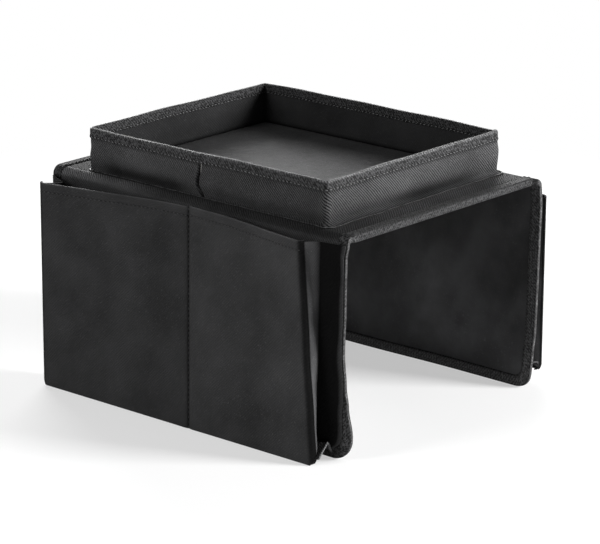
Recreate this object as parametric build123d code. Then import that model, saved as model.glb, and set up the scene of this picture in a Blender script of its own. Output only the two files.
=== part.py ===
from build123d import *
from collections import namedtuple
import os

# A cloth saddle that hangs over a sofa arm, with a walled tray on top and two expanding
# pockets on the outside of each flap. X runs across the arm, Y along it, Z up from the flaps'
# bottom edge. The front is the -Y end.

# Overall sizes, in millimetres
tray_length = 300.0
tray_width = 250.0
tray_wall_height = 42.0
end_ledge = 37.0
side_ledge = 11.0
ledge_height = 211.0

# Layers
cloth = 0.8
lining = 0.6
tape = 0.7
saddle_board_thickness = 4.6
tray_board_thickness = 2.0
interlining_thickness = 1.4
floor_cloth = 0.6
floor_board_thickness = 1.8
sheet_thickness = 1.0

# Bound edges and the soft folds between the top and the flaps
binding_width = 11.0
fold_radius = 8.0
board_fold_gap = 2.0
flap_corner_radius = 24.0
interlining_margin = 2.0

# Tray wall
tray_corner_radius = 8.0
rim_band_depth = 10.0
welt_size = 1.6
welt_round_share = 0.6
board_end_gap = 0.5

# Floor insert
insert_clearance = 1.0
floor_hem = 15.0

# Pockets
pocket_depth = 31.0
mouth_drop = 7.0
seam_mouth_place = 6.5
seam_foot_place = -17.0
seam_opening = 3.0
left_front_mouth_opening = 21.0
left_front_top_inset = 33.0
left_front_bottom_inset = 16.0
right_front_mouth_opening = 28.0
right_front_top_inset = 6.5
right_front_bottom_inset = 10.0
right_front_mouth_sag = 18.0
right_front_foot_lift = 10.0
rear_mouth_opening = 36.0
rear_top_inset = 15.0
rear_bottom_inset = 9.0
seam_running_gap = 2.8
mouth_hem_depth = 10.0
mouth_hem_end_gap = 5.0
hem_clearance = 0.25

# Dividers and bellows
divider_notch = 0.5
gusset_seat_gap = 0.2
gusset_flap_inset = 1.5
gusset_sheet_inset = 1.5
gusset_fold_inset = 32.0
gusset_fold_share = 0.5
front_mouth_fold_share = 0.25
base_gusset_rise = 19.0
base_gusset_floor_gap = 1.0
gusset_joint_gap = 1.0

saddle_length = tray_length + 2 * end_ledge
saddle_width = tray_width + 2 * side_ledge
half_length = saddle_length / 2
half_width = saddle_width / 2
saddle_thickness = cloth + saddle_board_thickness + lining
saddle_underside = ledge_height - saddle_thickness
fold_line = half_width - fold_radius
fold_level = ledge_height - fold_radius
flap_thickness = cloth + interlining_thickness + lining
flap_inside = half_width - flap_thickness
rim_level = ledge_height + tray_wall_height
tray_wall_thickness = 4 * cloth + tray_board_thickness
mouth_level = ledge_height - mouth_drop
bound_face = half_width + tape

half_sizes = "name way mouth_opening top_reach bottom_reach mouth_sag foot_lift mouth_fold_share"
PocketHalf = namedtuple("PocketHalf", half_sizes)
left_front_half = PocketHalf(
    "front",
    -1,
    left_front_mouth_opening,
    half_length - left_front_top_inset,
    half_length - left_front_bottom_inset,
    0,
    0,
    front_mouth_fold_share,
)
right_front_half = PocketHalf(
    "front",
    -1,
    right_front_mouth_opening,
    half_length - right_front_top_inset,
    half_length - right_front_bottom_inset,
    right_front_mouth_sag,
    right_front_foot_lift,
    front_mouth_fold_share,
)
rear_half = PocketHalf(
    "rear",
    1,
    rear_mouth_opening,
    half_length - rear_top_inset,
    half_length - rear_bottom_inset,
    0,
    0,
    gusset_fold_share,
)
pocket_halves = {
    "left": [left_front_half, rear_half],
    "right": [right_front_half, rear_half],
}


def block(x_range, y_range, z_range):
    """A box between two places on each axis."""
    size = [high - low for low, high in (x_range, y_range, z_range)]
    middle = [(high + low) / 2 for low, high in (x_range, y_range, z_range)]
    return Pos(*middle) * Box(*size)


def between(start, end, share):
    return start + (end - start) * share


# Saddle top
def saddle_layer(reach, bottom, top):
    return block((-reach, reach), (tape - half_length, half_length - tape), (bottom, top))


def end_binding(way):
    """Tape folded over one open end of the top, as a channel round its edge."""
    outer_end = way * half_length
    inner_end = way * (half_length - binding_width)
    y_range = sorted((outer_end, inner_end))
    channel = block((-fold_line, fold_line), y_range, (saddle_underside - tape, ledge_height + tape))
    filling_end = way * (half_length - tape)
    filling_range = sorted((inner_end, filling_end))
    return channel - block((-fold_line, fold_line), filling_range, (saddle_underside, ledge_height))


# Folds between the top and a flap, drawn on the +X side
def quarter_bend(centre, outer_radius, inner_radius, y_range):
    """A quarter turn from level to hanging, about a line along Y."""
    ring = Circle(outer_radius) - Circle(inner_radius)
    quarter = ring & (Pos(outer_radius / 2, outer_radius / 2) * Rectangle(outer_radius, outer_radius))
    low, high = y_range
    bend = extrude(Plane.XZ * quarter, amount=high - low)
    return Pos(centre[0], high, centre[1]) * bend


def cloth_fold():
    """The cloth's turn over the arm, with the tape that binds its two ends."""
    centre = (fold_line, fold_level)
    fold = quarter_bend(centre, fold_radius, fold_radius - cloth, (-half_length, half_length))
    front_band = (-half_length, binding_width - half_length)
    rear_band = (half_length - binding_width, half_length)
    fold += quarter_bend(centre, fold_radius + tape, fold_radius, front_band)
    fold += quarter_bend(centre, fold_radius + tape, fold_radius, rear_band)
    return fold


def lining_fold():
    """The lining's run past the board's end and its tighter turn down the flap."""
    inner_radius = fold_radius - saddle_thickness
    turn_start = flap_inside - inner_radius
    y_range = (tape - half_length, half_length - tape)
    bend = quarter_bend((turn_start, fold_level), inner_radius + lining, inner_radius, y_range)
    run = block((fold_line, turn_start), y_range, (saddle_underside, saddle_underside + lining))
    return bend + run


# Flap layers, drawn on the +X side
def flap_outline(inset):
    """The flap's outline in the YZ plane, with rounded bottom corners."""
    height = fold_level - inset
    plate = Pos(0, inset + height / 2) * Rectangle(saddle_length - 2 * inset, height)
    return fillet(plate.vertices().group_by(Axis.Y)[0], flap_corner_radius - inset)


def flap_layer(inset, inner, outer):
    return extrude(Plane.YZ.offset(inner) * flap_outline(inset), amount=outer - inner)


def flap_binding():
    """Tape down both sides, round the corners and along the bottom."""
    band = flap_layer(0, flap_inside - tape, bound_face)
    band -= flap_layer(tape, flap_inside, half_width)
    return band - flap_layer(binding_width, flap_inside - tape, bound_face)


# Pocket sheets, drawn on the +X side: the foot stands off the flap evenly, the mouth is pulled in
# at the centre seam, and the seam leans forward as it goes down
def seam_line(rise_share):
    """The centre seam at a share of its height: a point of the sheet's outer face."""
    foot = Vector(half_width + pocket_depth, seam_foot_place, 0)
    mouth = Vector(half_width + seam_opening, seam_mouth_place, mouth_level)
    return between(foot, mouth, rise_share)


def sheet_point(half, along, rise_share):
    """A point of the sheet's outer face, from its shares of the way along and up."""
    running_gap = Vector(0, half.way * seam_running_gap, 0)
    end_foot = Vector(half_width + pocket_depth, half.way * half.bottom_reach, half.foot_lift)
    end_mouth = Vector(
        half_width + half.mouth_opening,
        half.way * half.top_reach,
        mouth_level - half.mouth_sag,
    )
    seam = seam_line(rise_share) + running_gap
    end = between(end_foot, end_mouth, rise_share)
    return between(seam, end, along)


def sheet_section(half, along, low_share, outside, inside):
    """A slice of the sheet from a share of its height to the mouth, between two depths."""
    low = sheet_point(half, along, low_share)
    high = sheet_point(half, along, 1)
    outer_depth = Vector(outside, 0, 0)
    inner_depth = Vector(inside, 0, 0)
    corners = [low - outer_depth, low - inner_depth, high - inner_depth, high - outer_depth]
    return Wire.make_polygon(corners)


def ruled_solid(first, last):
    return Solid.make_loft([first, last], ruled=True)


def pocket_sheet(half):
    seam = sheet_section(half, 0, 0, 0, sheet_thickness)
    end = sheet_section(half, 1, 0, 0, sheet_thickness)
    return ruled_solid(seam, end)


def mouth_hem(half):
    """The cloth turned down inside the mouth, short of the bellows."""
    low_share = 1 - mouth_hem_depth / mouth_level
    outside = sheet_thickness + hem_clearance
    inside = outside + cloth
    run = half.top_reach - half.way * seam_mouth_place
    stop_share = 1 - mouth_hem_end_gap / run
    seam = sheet_section(half, 0, low_share, outside, inside)
    end = sheet_section(half, stop_share, low_share, outside, inside)
    return ruled_solid(seam, end)


def pocket_divider():
    """The web at the centre seam, notched over the flap's bottom binding."""
    notch_level = binding_width + divider_notch
    notch_face = bound_face + divider_notch
    low = base_gusset_floor_gap
    corners = [
        (half_width, notch_level),
        (half_width, fold_level),
        (half_width + seam_opening, mouth_level),
        (seam_line(low / mouth_level).X, low),
        (notch_face, low),
        (notch_face, notch_level),
    ]
    places = [(x, seam_line(z / mouth_level).Y - cloth / 2, z) for x, z in corners]
    web = make_face(Polyline(*places, close=True))
    return extrude(web, amount=cloth, dir=(0, 1, 0))


# Bellows
def folded_strip(start, fold, end, thickness):
    """Outline of a strip with one fold: its three points, and the same offset to their left."""
    first = (Vector(*fold) - Vector(*start)).normalized()
    second = (Vector(*end) - Vector(*fold)).normalized()
    first_side = Vector(-first.Y, first.X) * thickness
    second_side = Vector(-second.Y, second.X) * thickness
    mitre = (first_side + second_side) / (1 + first.dot(second))
    return [
        Vector(*start),
        Vector(*fold),
        Vector(*end),
        Vector(*end) + second_side,
        Vector(*fold) + mitre,
        Vector(*start) + first_side,
    ]


def bellows_section(half, level, sheet_share, fold_share):
    """A slice of an end bellows: from the flap's edge in to the fold and out to the sheet."""
    flap_side = bound_face + gusset_seat_gap
    attach_share = 1 - gusset_sheet_inset / half.bottom_reach
    attach = sheet_point(half, attach_share, sheet_share)
    sheet_side = attach.X - sheet_thickness - gusset_seat_gap
    start = (flap_side, half_length - gusset_flap_inset)
    fold = (between(flap_side, sheet_side, fold_share), half_length - gusset_fold_inset)
    end = (sheet_side, abs(attach.Y))
    slope = (attach.Z - level) / (sheet_side - flap_side)
    outline = folded_strip(start, fold, end, cloth)
    places = [(p.X, half.way * p.Y, level + (p.X - flap_side) * slope) for p in outline]
    return Wire.make_polygon([Vector(*place) for place in places])


def end_gusset(half):
    low_level = base_gusset_rise + gusset_joint_gap
    end_height = mouth_level - half.mouth_sag - half.foot_lift
    low_share = (low_level - half.foot_lift) / end_height
    low = bellows_section(half, low_level, low_share, gusset_fold_share)
    high = bellows_section(half, mouth_level, 1, half.mouth_fold_share)
    return ruled_solid(low, high)


def base_gusset_outline(lift):
    """The upward fold across a pocket's foot, with the sheet's side lifted."""
    flap_side = bound_face + gusset_seat_gap
    sheet_side = half_width + pocket_depth - sheet_thickness - gusset_joint_gap
    middle = between(flap_side, sheet_side, gusset_fold_share)
    start = (sheet_side, base_gusset_floor_gap + lift)
    fold = (middle, base_gusset_rise - cloth)
    end = (flap_side, base_gusset_floor_gap)
    return folded_strip(start, fold, end, cloth)


def base_gusset(half):
    """The upward fold under one pocket, from the divider to the sheet's end."""
    running_gap = half.way * gusset_joint_gap
    end_y = half.way * (half.bottom_reach - gusset_sheet_inset)
    first_places = [
        (p.X, seam_line(p.Y / mouth_level).Y + running_gap, p.Y) for p in base_gusset_outline(0)
    ]
    last_places = [(p.X, end_y, p.Y) for p in base_gusset_outline(half.foot_lift)]
    first = Wire.make_polygon([Vector(*place) for place in first_places])
    last = Wire.make_polygon([Vector(*place) for place in last_places])
    return ruled_solid(first, last)


# Tray
def tray_plate(inset, bottom, top):
    """A plate with the tray's rounded outline, set in from its outer face."""
    width = tray_width - 2 * inset
    length = tray_length - 2 * inset
    outline = RectangleRounded(width, length, tray_corner_radius - inset)
    return Pos(0, 0, bottom) * extrude(outline, amount=top - bottom)


def tray_ring(inset, thickness, bottom, top):
    return tray_plate(inset, bottom, top) - tray_plate(inset + thickness, bottom, top)


def rim_binding():
    """The folded band over the wall's top edge."""
    bottom = rim_level - rim_band_depth
    band = tray_ring(0, tray_wall_thickness, bottom, rim_level)
    filling = tray_wall_thickness - 2 * cloth
    return band - tray_ring(cloth, filling, bottom, rim_level - cloth)


def base_welt():
    """The rounded seam that runs round the foot of the wall."""
    welt = tray_ring(cloth - welt_size, welt_size, ledge_height, ledge_height + welt_size)
    top = welt.faces().sort_by(Axis.Z)[-1]
    return fillet(top.outer_wire().edges(), welt_size * welt_round_share)


def wall_board(across, way):
    """One flat stiffener, held between the wall's two cloths."""
    outer = 2 * cloth
    inner = outer + tray_board_thickness
    side_half = (tray_width if across else tray_length) / 2
    run_half = (tray_length if across else tray_width) / 2 - tray_corner_radius - board_end_gap
    side_range = sorted((way * (side_half - inner), way * (side_half - outer)))
    run_range = (-run_half, run_half)
    z_range = (ledge_height, rim_level - cloth)
    if across:
        return block(side_range, run_range, z_range)
    return block(run_range, side_range, z_range)


# Floor insert
insert_inset = tray_wall_thickness + insert_clearance
insert_thickness = 2 * floor_cloth + floor_board_thickness


def floor_cover():
    """Cloth over the board and turned under its edges, open in the middle underneath."""
    top = ledge_height + insert_thickness
    cover = tray_plate(insert_inset, ledge_height, top)
    cover -= tray_plate(insert_inset + floor_cloth, ledge_height + floor_cloth, top - floor_cloth)
    window_width = tray_width - 2 * (insert_inset + floor_hem)
    window_length = tray_length - 2 * (insert_inset + floor_hem)
    window = Box(window_width, window_length, floor_cloth)
    return cover - Pos(0, 0, ledge_height + floor_cloth / 2) * window


def floor_board():
    bottom = ledge_height + floor_cloth
    return tray_plate(insert_inset + floor_cloth, bottom, bottom + floor_board_thickness)


# The pieces by name
pieces = {
    "saddle_top_cloth": saddle_layer(fold_line, ledge_height - cloth, ledge_height),
    "saddle_board": saddle_layer(
        fold_line - board_fold_gap,
        saddle_underside + lining,
        ledge_height - cloth,
    ),
    "saddle_lining": saddle_layer(fold_line, saddle_underside, saddle_underside + lining),
    "saddle_front_binding": end_binding(-1),
    "saddle_rear_binding": end_binding(1),
    "tray_outer_band": tray_ring(cloth, cloth, ledge_height, rim_level - cloth),
    "tray_inner_band": tray_ring(
        tray_wall_thickness - 2 * cloth,
        cloth,
        ledge_height,
        rim_level - cloth,
    ),
    "tray_board_left": wall_board(True, -1),
    "tray_board_right": wall_board(True, 1),
    "tray_board_front": wall_board(False, -1),
    "tray_board_rear": wall_board(False, 1),
    "tray_rim_binding": rim_binding(),
    "tray_base_welt": base_welt(),
    "floor_board": floor_board(),
    "floor_cover": floor_cover(),
}

one_side = {
    "fold": cloth_fold(),
    "lining_fold": lining_fold(),
    "flap_cloth": flap_layer(tape, half_width - cloth, half_width),
    "flap_interlining": flap_layer(
        tape + interlining_margin,
        flap_inside + lining,
        half_width - cloth,
    ),
    "flap_lining": flap_layer(tape, flap_inside, flap_inside + lining),
    "flap_binding": flap_binding(),
    "pocket_divider": pocket_divider(),
}
for name, piece in one_side.items():
    pieces["right_" + name] = piece
    pieces["left_" + name] = mirror(piece, about=Plane.YZ)

makers = {
    "gusset": end_gusset,
    "base_gusset": base_gusset,
    "pocket_sheet": pocket_sheet,
    "mouth_hem": mouth_hem,
}
for side, halves in pocket_halves.items():
    for half in halves:
        for name, make in makers.items():
            piece = make(half)
            if side == "left":
                piece = mirror(piece, about=Plane.YZ)
            pieces[f"{side}_{half.name}_{name}"] = piece

os.makedirs("parts", exist_ok=True)
for name, piece in pieces.items():
    export_step(piece, "parts/" + name + ".step")
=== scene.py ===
import functools
import math
import random

import bmesh
import bpy
import numpy as np
from bpy.props import FloatProperty, FloatVectorProperty, IntProperty, PointerProperty
from bpy.types import Operator, Panel, PropertyGroup
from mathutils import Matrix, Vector


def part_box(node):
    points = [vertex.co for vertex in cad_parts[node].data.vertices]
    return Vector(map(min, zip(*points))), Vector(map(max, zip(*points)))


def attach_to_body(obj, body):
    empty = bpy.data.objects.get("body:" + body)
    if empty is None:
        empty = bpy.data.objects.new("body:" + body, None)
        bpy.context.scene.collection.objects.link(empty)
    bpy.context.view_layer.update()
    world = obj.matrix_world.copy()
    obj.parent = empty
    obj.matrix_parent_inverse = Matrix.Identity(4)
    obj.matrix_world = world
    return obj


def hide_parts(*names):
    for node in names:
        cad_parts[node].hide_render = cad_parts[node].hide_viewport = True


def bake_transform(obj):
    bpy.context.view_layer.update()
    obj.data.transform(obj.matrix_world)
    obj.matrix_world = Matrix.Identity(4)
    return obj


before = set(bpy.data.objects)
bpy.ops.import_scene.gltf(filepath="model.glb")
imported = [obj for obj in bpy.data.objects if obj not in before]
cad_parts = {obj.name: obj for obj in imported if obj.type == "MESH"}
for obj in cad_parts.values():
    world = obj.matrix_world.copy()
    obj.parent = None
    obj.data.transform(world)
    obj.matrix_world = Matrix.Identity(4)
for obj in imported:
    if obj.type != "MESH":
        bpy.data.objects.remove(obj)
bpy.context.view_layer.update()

bl_info = {
    "name": "Sofa arm tray",
    "version": (1, 0),
    "blender": (4, 5, 0),
    "location": "3D View > Sidebar > Sofa tray",
    "description": "Dresses the frame of a sofa arm tray in twill, tape, lining and stitching",
    "category": "Object",
}

MM = 0.001
SIDES = {"left": -1, "right": 1}
HALVES = {"front": -1, "rear": 1}

# Seeds of the uneven surfaces' waves
WALL_WAVES, WALL_RIPPLES, RIM_WAVES = 11, 12, 13
LEDGE_WAVES, UNDERSIDE_WAVES, INSERT_WAVES = 21, 22, 31
INNER_WALL_SHIFT = 40
FLAP_WAVES, LINING_WAVES, LINING_RIPPLES = 51, 71, 73
END_TAPE_WAVES, FLAP_TAPE_WAVES, TAPE_HIGHLIGHT_SHIFT = 60, 80, 50
SHEET_WAVES, SHEET_RIPPLES, MOUTH_WAVES, DIVIDER_WAVES = 90, 95, 99, 101
END_BELLOWS_WAVES, BASE_BELLOWS_WAVES = 111, 121


# Sizes read from the frame
def low(node):
    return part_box(node)[0]


def high(node):
    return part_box(node)[1]


RIM_LEVEL = high("tray_rim_binding").z
HEM_LEVEL = low("tray_rim_binding").z
TRAY_HALF_X = high("tray_rim_binding").x
TRAY_HALF_Y = high("tray_rim_binding").y
LEDGE_LEVEL = high("saddle_top_cloth").z
FOLD_LINE = high("saddle_top_cloth").x
CLOTH = LEDGE_LEVEL - low("saddle_top_cloth").z
TAPE = high("saddle_front_binding").z - LEDGE_LEVEL
UNDERSIDE = low("saddle_lining").z
HALF_LENGTH = high("right_flap_binding").y
TAPE_WIDTH = high("saddle_front_binding").y + HALF_LENGTH
FOLD_LEVEL = high("right_flap_cloth").z
FLAP_OUTSIDE = high("right_flap_cloth").x
FLAP_INSIDE = low("right_flap_lining").x
LINING = high("right_flap_lining").x - FLAP_INSIDE
MOUTH_LEVEL = high("right_rear_pocket_sheet").z
EDGE = HALF_LENGTH - TAPE
INSERT_LOW, INSERT_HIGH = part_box("floor_cover")
WALL_HEIGHT = RIM_LEVEL - LEDGE_LEVEL
WALL_STACK = 5.2 * MM
JOIN_PLACE = 6 * MM
SHEET_BEND_RUN = 70 * MM
BELLOWS_STRIP = 50 * MM
FRONT_END_STRIP = 44 * MM
BELLOWS_EDGE_INSET = 1.2 * MM
BELLOWS_FOOT_INSET = 11 * MM
BELLOWS_FOLD_INSET = 30 * MM
BELLOWS_START_X = FLAP_OUTSIDE + TAPE + 0.25 * MM
BASE_RISE = high("left_front_base_gusset").z - 1.5 * MM
SHARP_ANGLE = math.radians(52)
FLAP_ROWS = 44
BELLOWS_COLUMNS = 21


# Settings
def length_setting(name, description, millimetres):
    default = millimetres * MM
    return FloatProperty(name=name, description=description, unit="LENGTH", default=default)


def angle_setting(name, description, degrees):
    default = math.radians(degrees)
    return FloatProperty(name=name, description=description, subtype="ANGLE", default=default)


def number_setting(name, description, default):
    return FloatProperty(name=name, description=description, default=default)


def vector_setting(name, description, subtype, default):
    return FloatVectorProperty(
        name=name, description=description, subtype=subtype, size=3, default=default
    )


def group_setting(group, name, description):
    return PointerProperty(type=group, name=name, description=description)


class ClothColours(PropertyGroup):
    twill: vector_setting("Twill", "Colour of the outer cloth", "COLOR", (0.030, 0.030, 0.0308))
    lining: vector_setting(
        "Lining", "Colour of the smooth lining", "COLOR", (0.0198, 0.0198, 0.0205)
    )
    tape: vector_setting("Tape", "Colour of the binding tape", "COLOR", (0.026, 0.026, 0.0268))
    thread: vector_setting("Thread", "Colour of the sewing thread", "COLOR", (0.12, 0.12, 0.122))
    twill_pitch: length_setting(
        "Twill pitch", "Distance between the twill's diagonal ribs, along a thread", 3.0
    )


class StitchSizes(PropertyGroup):
    length: length_setting("Stitch length", "Length of one stitch", 2.8)
    pitch: length_setting("Stitch pitch", "Distance from one stitch to the next", 4.6)
    radius: length_setting("Thread radius", "Half the thread's thickness", 0.48)
    edge_inset: length_setting("Row inset", "Distance of a row from the edge of its band", 1.6)
    slant: angle_setting("Rim slant", "How far the rim's stitches turn out of their row", 24)


class TrayShape(PropertyGroup):
    corner_radius: length_setting("Corner radius", "Radius of the tray's upright corners", 5)
    foot_flare: length_setting(
        "Foot flare", "How far the wall's cloth turns out at its foot", 6.5
    )
    wall_swell: length_setting(
        "Wall swell", "How far the loose cloth stands off the wall's board", 2.4
    )
    rim_wave: length_setting("Rim wave", "Unevenness of the rim's height", 0.7)
    welt_radius: length_setting(
        "Welt radius", "Half the thickness of the seam round the wall's foot", 0.5
    )
    join_groove: length_setting("Join groove", "Depth of the upright join in the left wall", 1.8)


class FlapShape(PropertyGroup):
    corner_radius: length_setting("Corner radius", "Radius of a flap's bottom corners", 21)
    bow: length_setting("Bow", "How far a hanging flap bows out of its plane", 0.7)
    lining_wrinkle: length_setting(
        "Lining wrinkle", "Height of the lining's soft wrinkles", 1.0
    )


class PocketShape(PropertyGroup):
    sheet_thickness: length_setting(
        "Sheet thickness", "Thickness of a pocket's outer sheet", 1.1
    )
    rear_mouth_bow: length_setting(
        "Rear mouth bow", "How far the rear pockets' mouths bow towards the flap", 4.5
    )
    front_mouth_bow: length_setting(
        "Front mouth bow", "How far the front pockets' mouths bow towards the flap", 1.5
    )
    mouth_wave: length_setting("Mouth wave", "Unevenness of a mouth's height", 0.35)
    sheet_wave: length_setting("Sheet wave", "Unevenness of the hanging sheet", 0.7)
    seam_pinch: length_setting("Seam pinch", "Depth of the crease at the centre seam", 1.3)
    edge_roll: length_setting(
        "Edge roll", "Radius of the rolled edge where sheet and bellows meet", 6.0
    )
    seam_flange: length_setting(
        "Seam flange", "How far inside the sheet's edge its bellows is sewn on", 1.3
    )
    hem_depth: length_setting("Hem depth", "Depth of the hem inside a mouth", 10)


class StageLook(PropertyGroup):
    camera_place: vector_setting(
        "Camera place", "Where the camera stands", "XYZ", (-2.1316, -1.8895, 0.9705)
    )
    camera_turn: angle_setting("Camera turn", "Camera azimuth from looking along +Y", -48.568)
    camera_tilt: angle_setting("Camera tilt", "Camera height angle above the horizon", 16.786)
    lens: number_setting("Lens", "Focal length in millimetres on a 36 mm sensor", 186)
    right_power: number_setting("Right light", "Power of the light on the camera's right", 195)
    left_power: number_setting("Left light", "Power of the tall light on the camera's left", 46)
    top_power: number_setting("Top light", "Power of the soft light above and behind", 2)
    back_power: number_setting(
        "Back light", "Power of the low wide light behind, which the top's edges catch", 130
    )
    surround: number_setting("Surround", "Strength of the even light from all round", 0.13)


class SofaTraySettings(PropertyGroup):
    colours: group_setting(ClothColours, "Colours", "Cloth, tape and thread")
    stitches: group_setting(StitchSizes, "Stitches", "Sizes of the sewing")
    tray: group_setting(TrayShape, "Tray", "Shape of the tray's wall")
    flap: group_setting(FlapShape, "Flaps", "Shape of the flaps")
    pocket: group_setting(PocketShape, "Pockets", "Shape of the pockets")
    stage: group_setting(StageLook, "Stage", "Camera and lights")
    seed: IntProperty(name="Seed", description="Seed of every uneven surface", default=7)


def settings():
    return bpy.context.scene.sofa_tray


# Number helpers
def smooth_step(value, start, end):
    """0 before the start, 1 past the end and an ease between them."""
    share = np.clip((np.asarray(value, float) - start) / (end - start), 0, 1)
    return share * share * (3 - 2 * share)


def mix(start, end, share):
    return start + (end - start) * share


def eased_curve(value, places, amounts):
    """A curve that eases from each amount to the next at the given places, which rise."""
    result = np.full(np.shape(value), float(amounts[0]))
    for k in range(len(places) - 1):
        step = smooth_step(value, places[k], places[k + 1])
        result = result + (amounts[k + 1] - amounts[k]) * step
    return result


def ridge(distance, width):
    """1 at no distance, falling to nothing on both sides over about the width."""
    return np.exp(-((np.asarray(distance, float) / width) ** 2))


def fading(distance, reach):
    """1 at no distance and ever less further on."""
    return np.exp(-distance / reach)


def round_off(gap, radius):
    """How far a rounded edge falls back at a gap from the edge."""
    short = np.clip(radius - gap, 0, radius)
    return radius - np.sqrt(np.maximum(radius**2 - short**2, 0))


def soft_waves(seed, a, b, size):
    """Smooth uneven waves over two lengths, mostly between -1 and 1; size is a wave's length."""
    waves = 7
    rng = random.Random(seed * 1009 + settings().seed)
    total = np.zeros(np.broadcast(np.asarray(a), np.asarray(b)).shape)
    for _ in range(waves):
        turn = rng.uniform(0, math.tau)
        length = size * rng.uniform(0.65, 1.7)
        along = np.asarray(a) * math.cos(turn) + np.asarray(b) * math.sin(turn)
        total = total + np.sin(math.tau * along / length + rng.uniform(0, math.tau))
    return total / math.sqrt(waves)


def spread(start, end, step, fine_near_start=False, fine_near_end=False, fine=0.6 * MM):
    """Places from start to end about a step apart, closer together near an end that asks for it."""
    length = abs(end - start)
    shares = list(np.linspace(0, 1, max(2, int(round(length / step)) + 1)))
    extra = [k * fine / length for k in range(1, 8)]
    if fine_near_start:
        shares += extra
    if fine_near_end:
        shares += [1 - e for e in extra]
    shares = np.unique(np.round(np.clip(shares, 0, 1), 6))
    return start + (end - start) * shares


# Mesh helpers
CORNER_STEPS = [(0, 0), (1, 0), (1, 1), (0, 1)]


def joined(*parts):
    """Points or map places from their parts, each a grid, a row, a column or one number."""
    return np.stack(np.broadcast_arrays(*parts), axis=-1).astype(float)


def shifted(grid, distance, axis=0, way=1):
    """The grid moved along its normals, which point the given way along an axis."""
    normals = np.cross(np.gradient(grid, axis=0), np.gradient(grid, axis=1))
    lengths = np.linalg.norm(normals, axis=2, keepdims=True)
    normals = normals / np.maximum(lengths, 1e-12)
    if (normals[..., axis] * way).mean() < 0:
        normals = -normals
    return grid + normals * distance


def lengths_along(points):
    """Running length along a line of points."""
    steps = np.linalg.norm(np.diff(points, axis=0), axis=-1)
    return np.concatenate([[0], np.cumsum(steps)])


def cloth_mesh(name, points, faces, corner_uv):
    """A mesh with a map of real lengths, its faces outwards and its sharp edges marked."""
    mesh = bpy.data.meshes.new(name)
    mesh.from_pydata(np.reshape(points, (-1, 3)).tolist(), [], faces)
    layer = mesh.uv_layers.new(name="cloth")
    layer.data.foreach_set("uv", np.asarray(corner_uv, np.float32).ravel())
    model = bmesh.new()
    model.from_mesh(mesh)
    bmesh.ops.recalc_face_normals(model, faces=model.faces)
    model.to_mesh(mesh)
    model.free()
    mesh.shade_smooth()
    mesh.set_sharp_from_angle(angle=SHARP_ANGLE)
    return mesh


def shell_mesh(name, outer, inner, uv):
    """A closed shell between an outer and an inner grid of points, with a map of real lengths."""
    rows, columns = outer.shape[:2]
    count = rows * columns
    index = np.arange(count).reshape(rows, columns)
    corners = [index[:-1, :-1], index[1:, :-1], index[1:, 1:], index[:-1, 1:]]
    top = np.stack(corners, axis=-1).reshape(-1, 4)
    bottom = top[:, ::-1] + count
    rims = []
    for line in (index[:, 0], index[:, -1], index[0, :], index[-1, :]):
        first, second = line[:-1], line[1:]
        rims.append(np.stack([first, second, second + count, first + count], axis=-1))
    faces = np.concatenate([top, bottom, *rims])
    points = np.concatenate([outer.reshape(-1, 3), inner.reshape(-1, 3)])
    return cloth_mesh(name, points, faces.tolist(), uv.reshape(-1, 2)[faces.ravel() % count])


def faces_around(sections, uv, steps):
    """Faces over a number of steps from section to section, and their corners in the map."""
    rows, columns = sections.shape[:2]
    row, column = np.meshgrid(np.arange(steps), np.arange(columns), indexing="ij")
    corners = [((row + r) % rows) * columns + (column + c) % columns for r, c in CORNER_STEPS]
    corner_uv = [uv[row + r, column + c] for r, c in CORNER_STEPS]
    faces = np.stack(corners, axis=-1).reshape(-1, 4).tolist()
    return faces, np.stack(corner_uv, axis=2).reshape(-1, 2)


def ring_mesh(name, sections, uv):
    """A closed tube through sections of points, the last joined to the first; uv has one more
    row and column than the sections, so that the map doesn't run back at a join."""
    return cloth_mesh(name, sections, *faces_around(sections, uv, len(sections)))


def tube_mesh(name, sections, uv):
    """A tube through sections of points with its two ends closed."""
    last, columns = len(sections) - 1, sections.shape[1]
    faces, corner_uv = faces_around(sections, uv, last)
    faces += [[row * columns + c for c in range(columns)] for row in (0, last)]
    corner_uv = np.vstack([corner_uv, uv[0, :columns], uv[last, :columns]])
    return cloth_mesh(name, sections, faces, corner_uv)


def closed_uv(run, profile_run):
    """The map of a tube: along it and round it."""
    return joined(run[:, None], profile_run[None, :])


def set_shade(mesh, **values):
    """Stores values at each point, such as its painted shade in creases and its painted highlight
    on crests.
    """
    for label, amounts in values.items():
        layer = mesh.attributes.new(label, "FLOAT", "POINT")
        layer.data.foreach_set("value", np.asarray(amounts, np.float32).ravel())


def shell_shade(mesh, outer_crease, inner_crease=0.0, crest=None):
    """The same for a shell, whose outer points come first."""
    outer_crease = np.asarray(outer_crease, float)
    inner = np.broadcast_to(inner_crease, outer_crease.shape)
    set_shade(mesh, crease=np.stack([outer_crease, inner]))
    if crest is not None:
        set_shade(mesh, crest=np.stack([crest, crest]))


# Pieces
effects = {}
materials = {}
# Rows of stitches wait here, by the name of their piece, until they are sewn
stitch_rows = {}


def link_object(name, data):
    item = bpy.data.objects.new(name, data)
    bpy.context.scene.collection.objects.link(item)
    return item


def attach(piece, body, bend):
    """Lets a piece ride on a body; a piece that would bend between two bodies only has its place
    baked into its points.
    """
    if bend:
        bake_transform(piece)
    else:
        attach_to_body(piece, body)


def add_piece(mesh, finish, replaced, body=None, bend=None):
    """Puts a mesh in the scene, in its finish, for the nodes that it replaces."""
    piece = link_object(mesh.name, mesh)
    piece.data.materials.append(materials[finish])
    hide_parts(*replaced)
    attach(piece, body, bend)
    return piece


def add_row(name, points, closed=False, body=None, bend=None):
    """Asks for a row of stitches along a line, in the piece of that name."""
    piece = stitch_rows.setdefault(name, {"rows": [], "body": body, "bend": bend})
    piece["rows"].append((np.asarray(points, float), closed))


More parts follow.
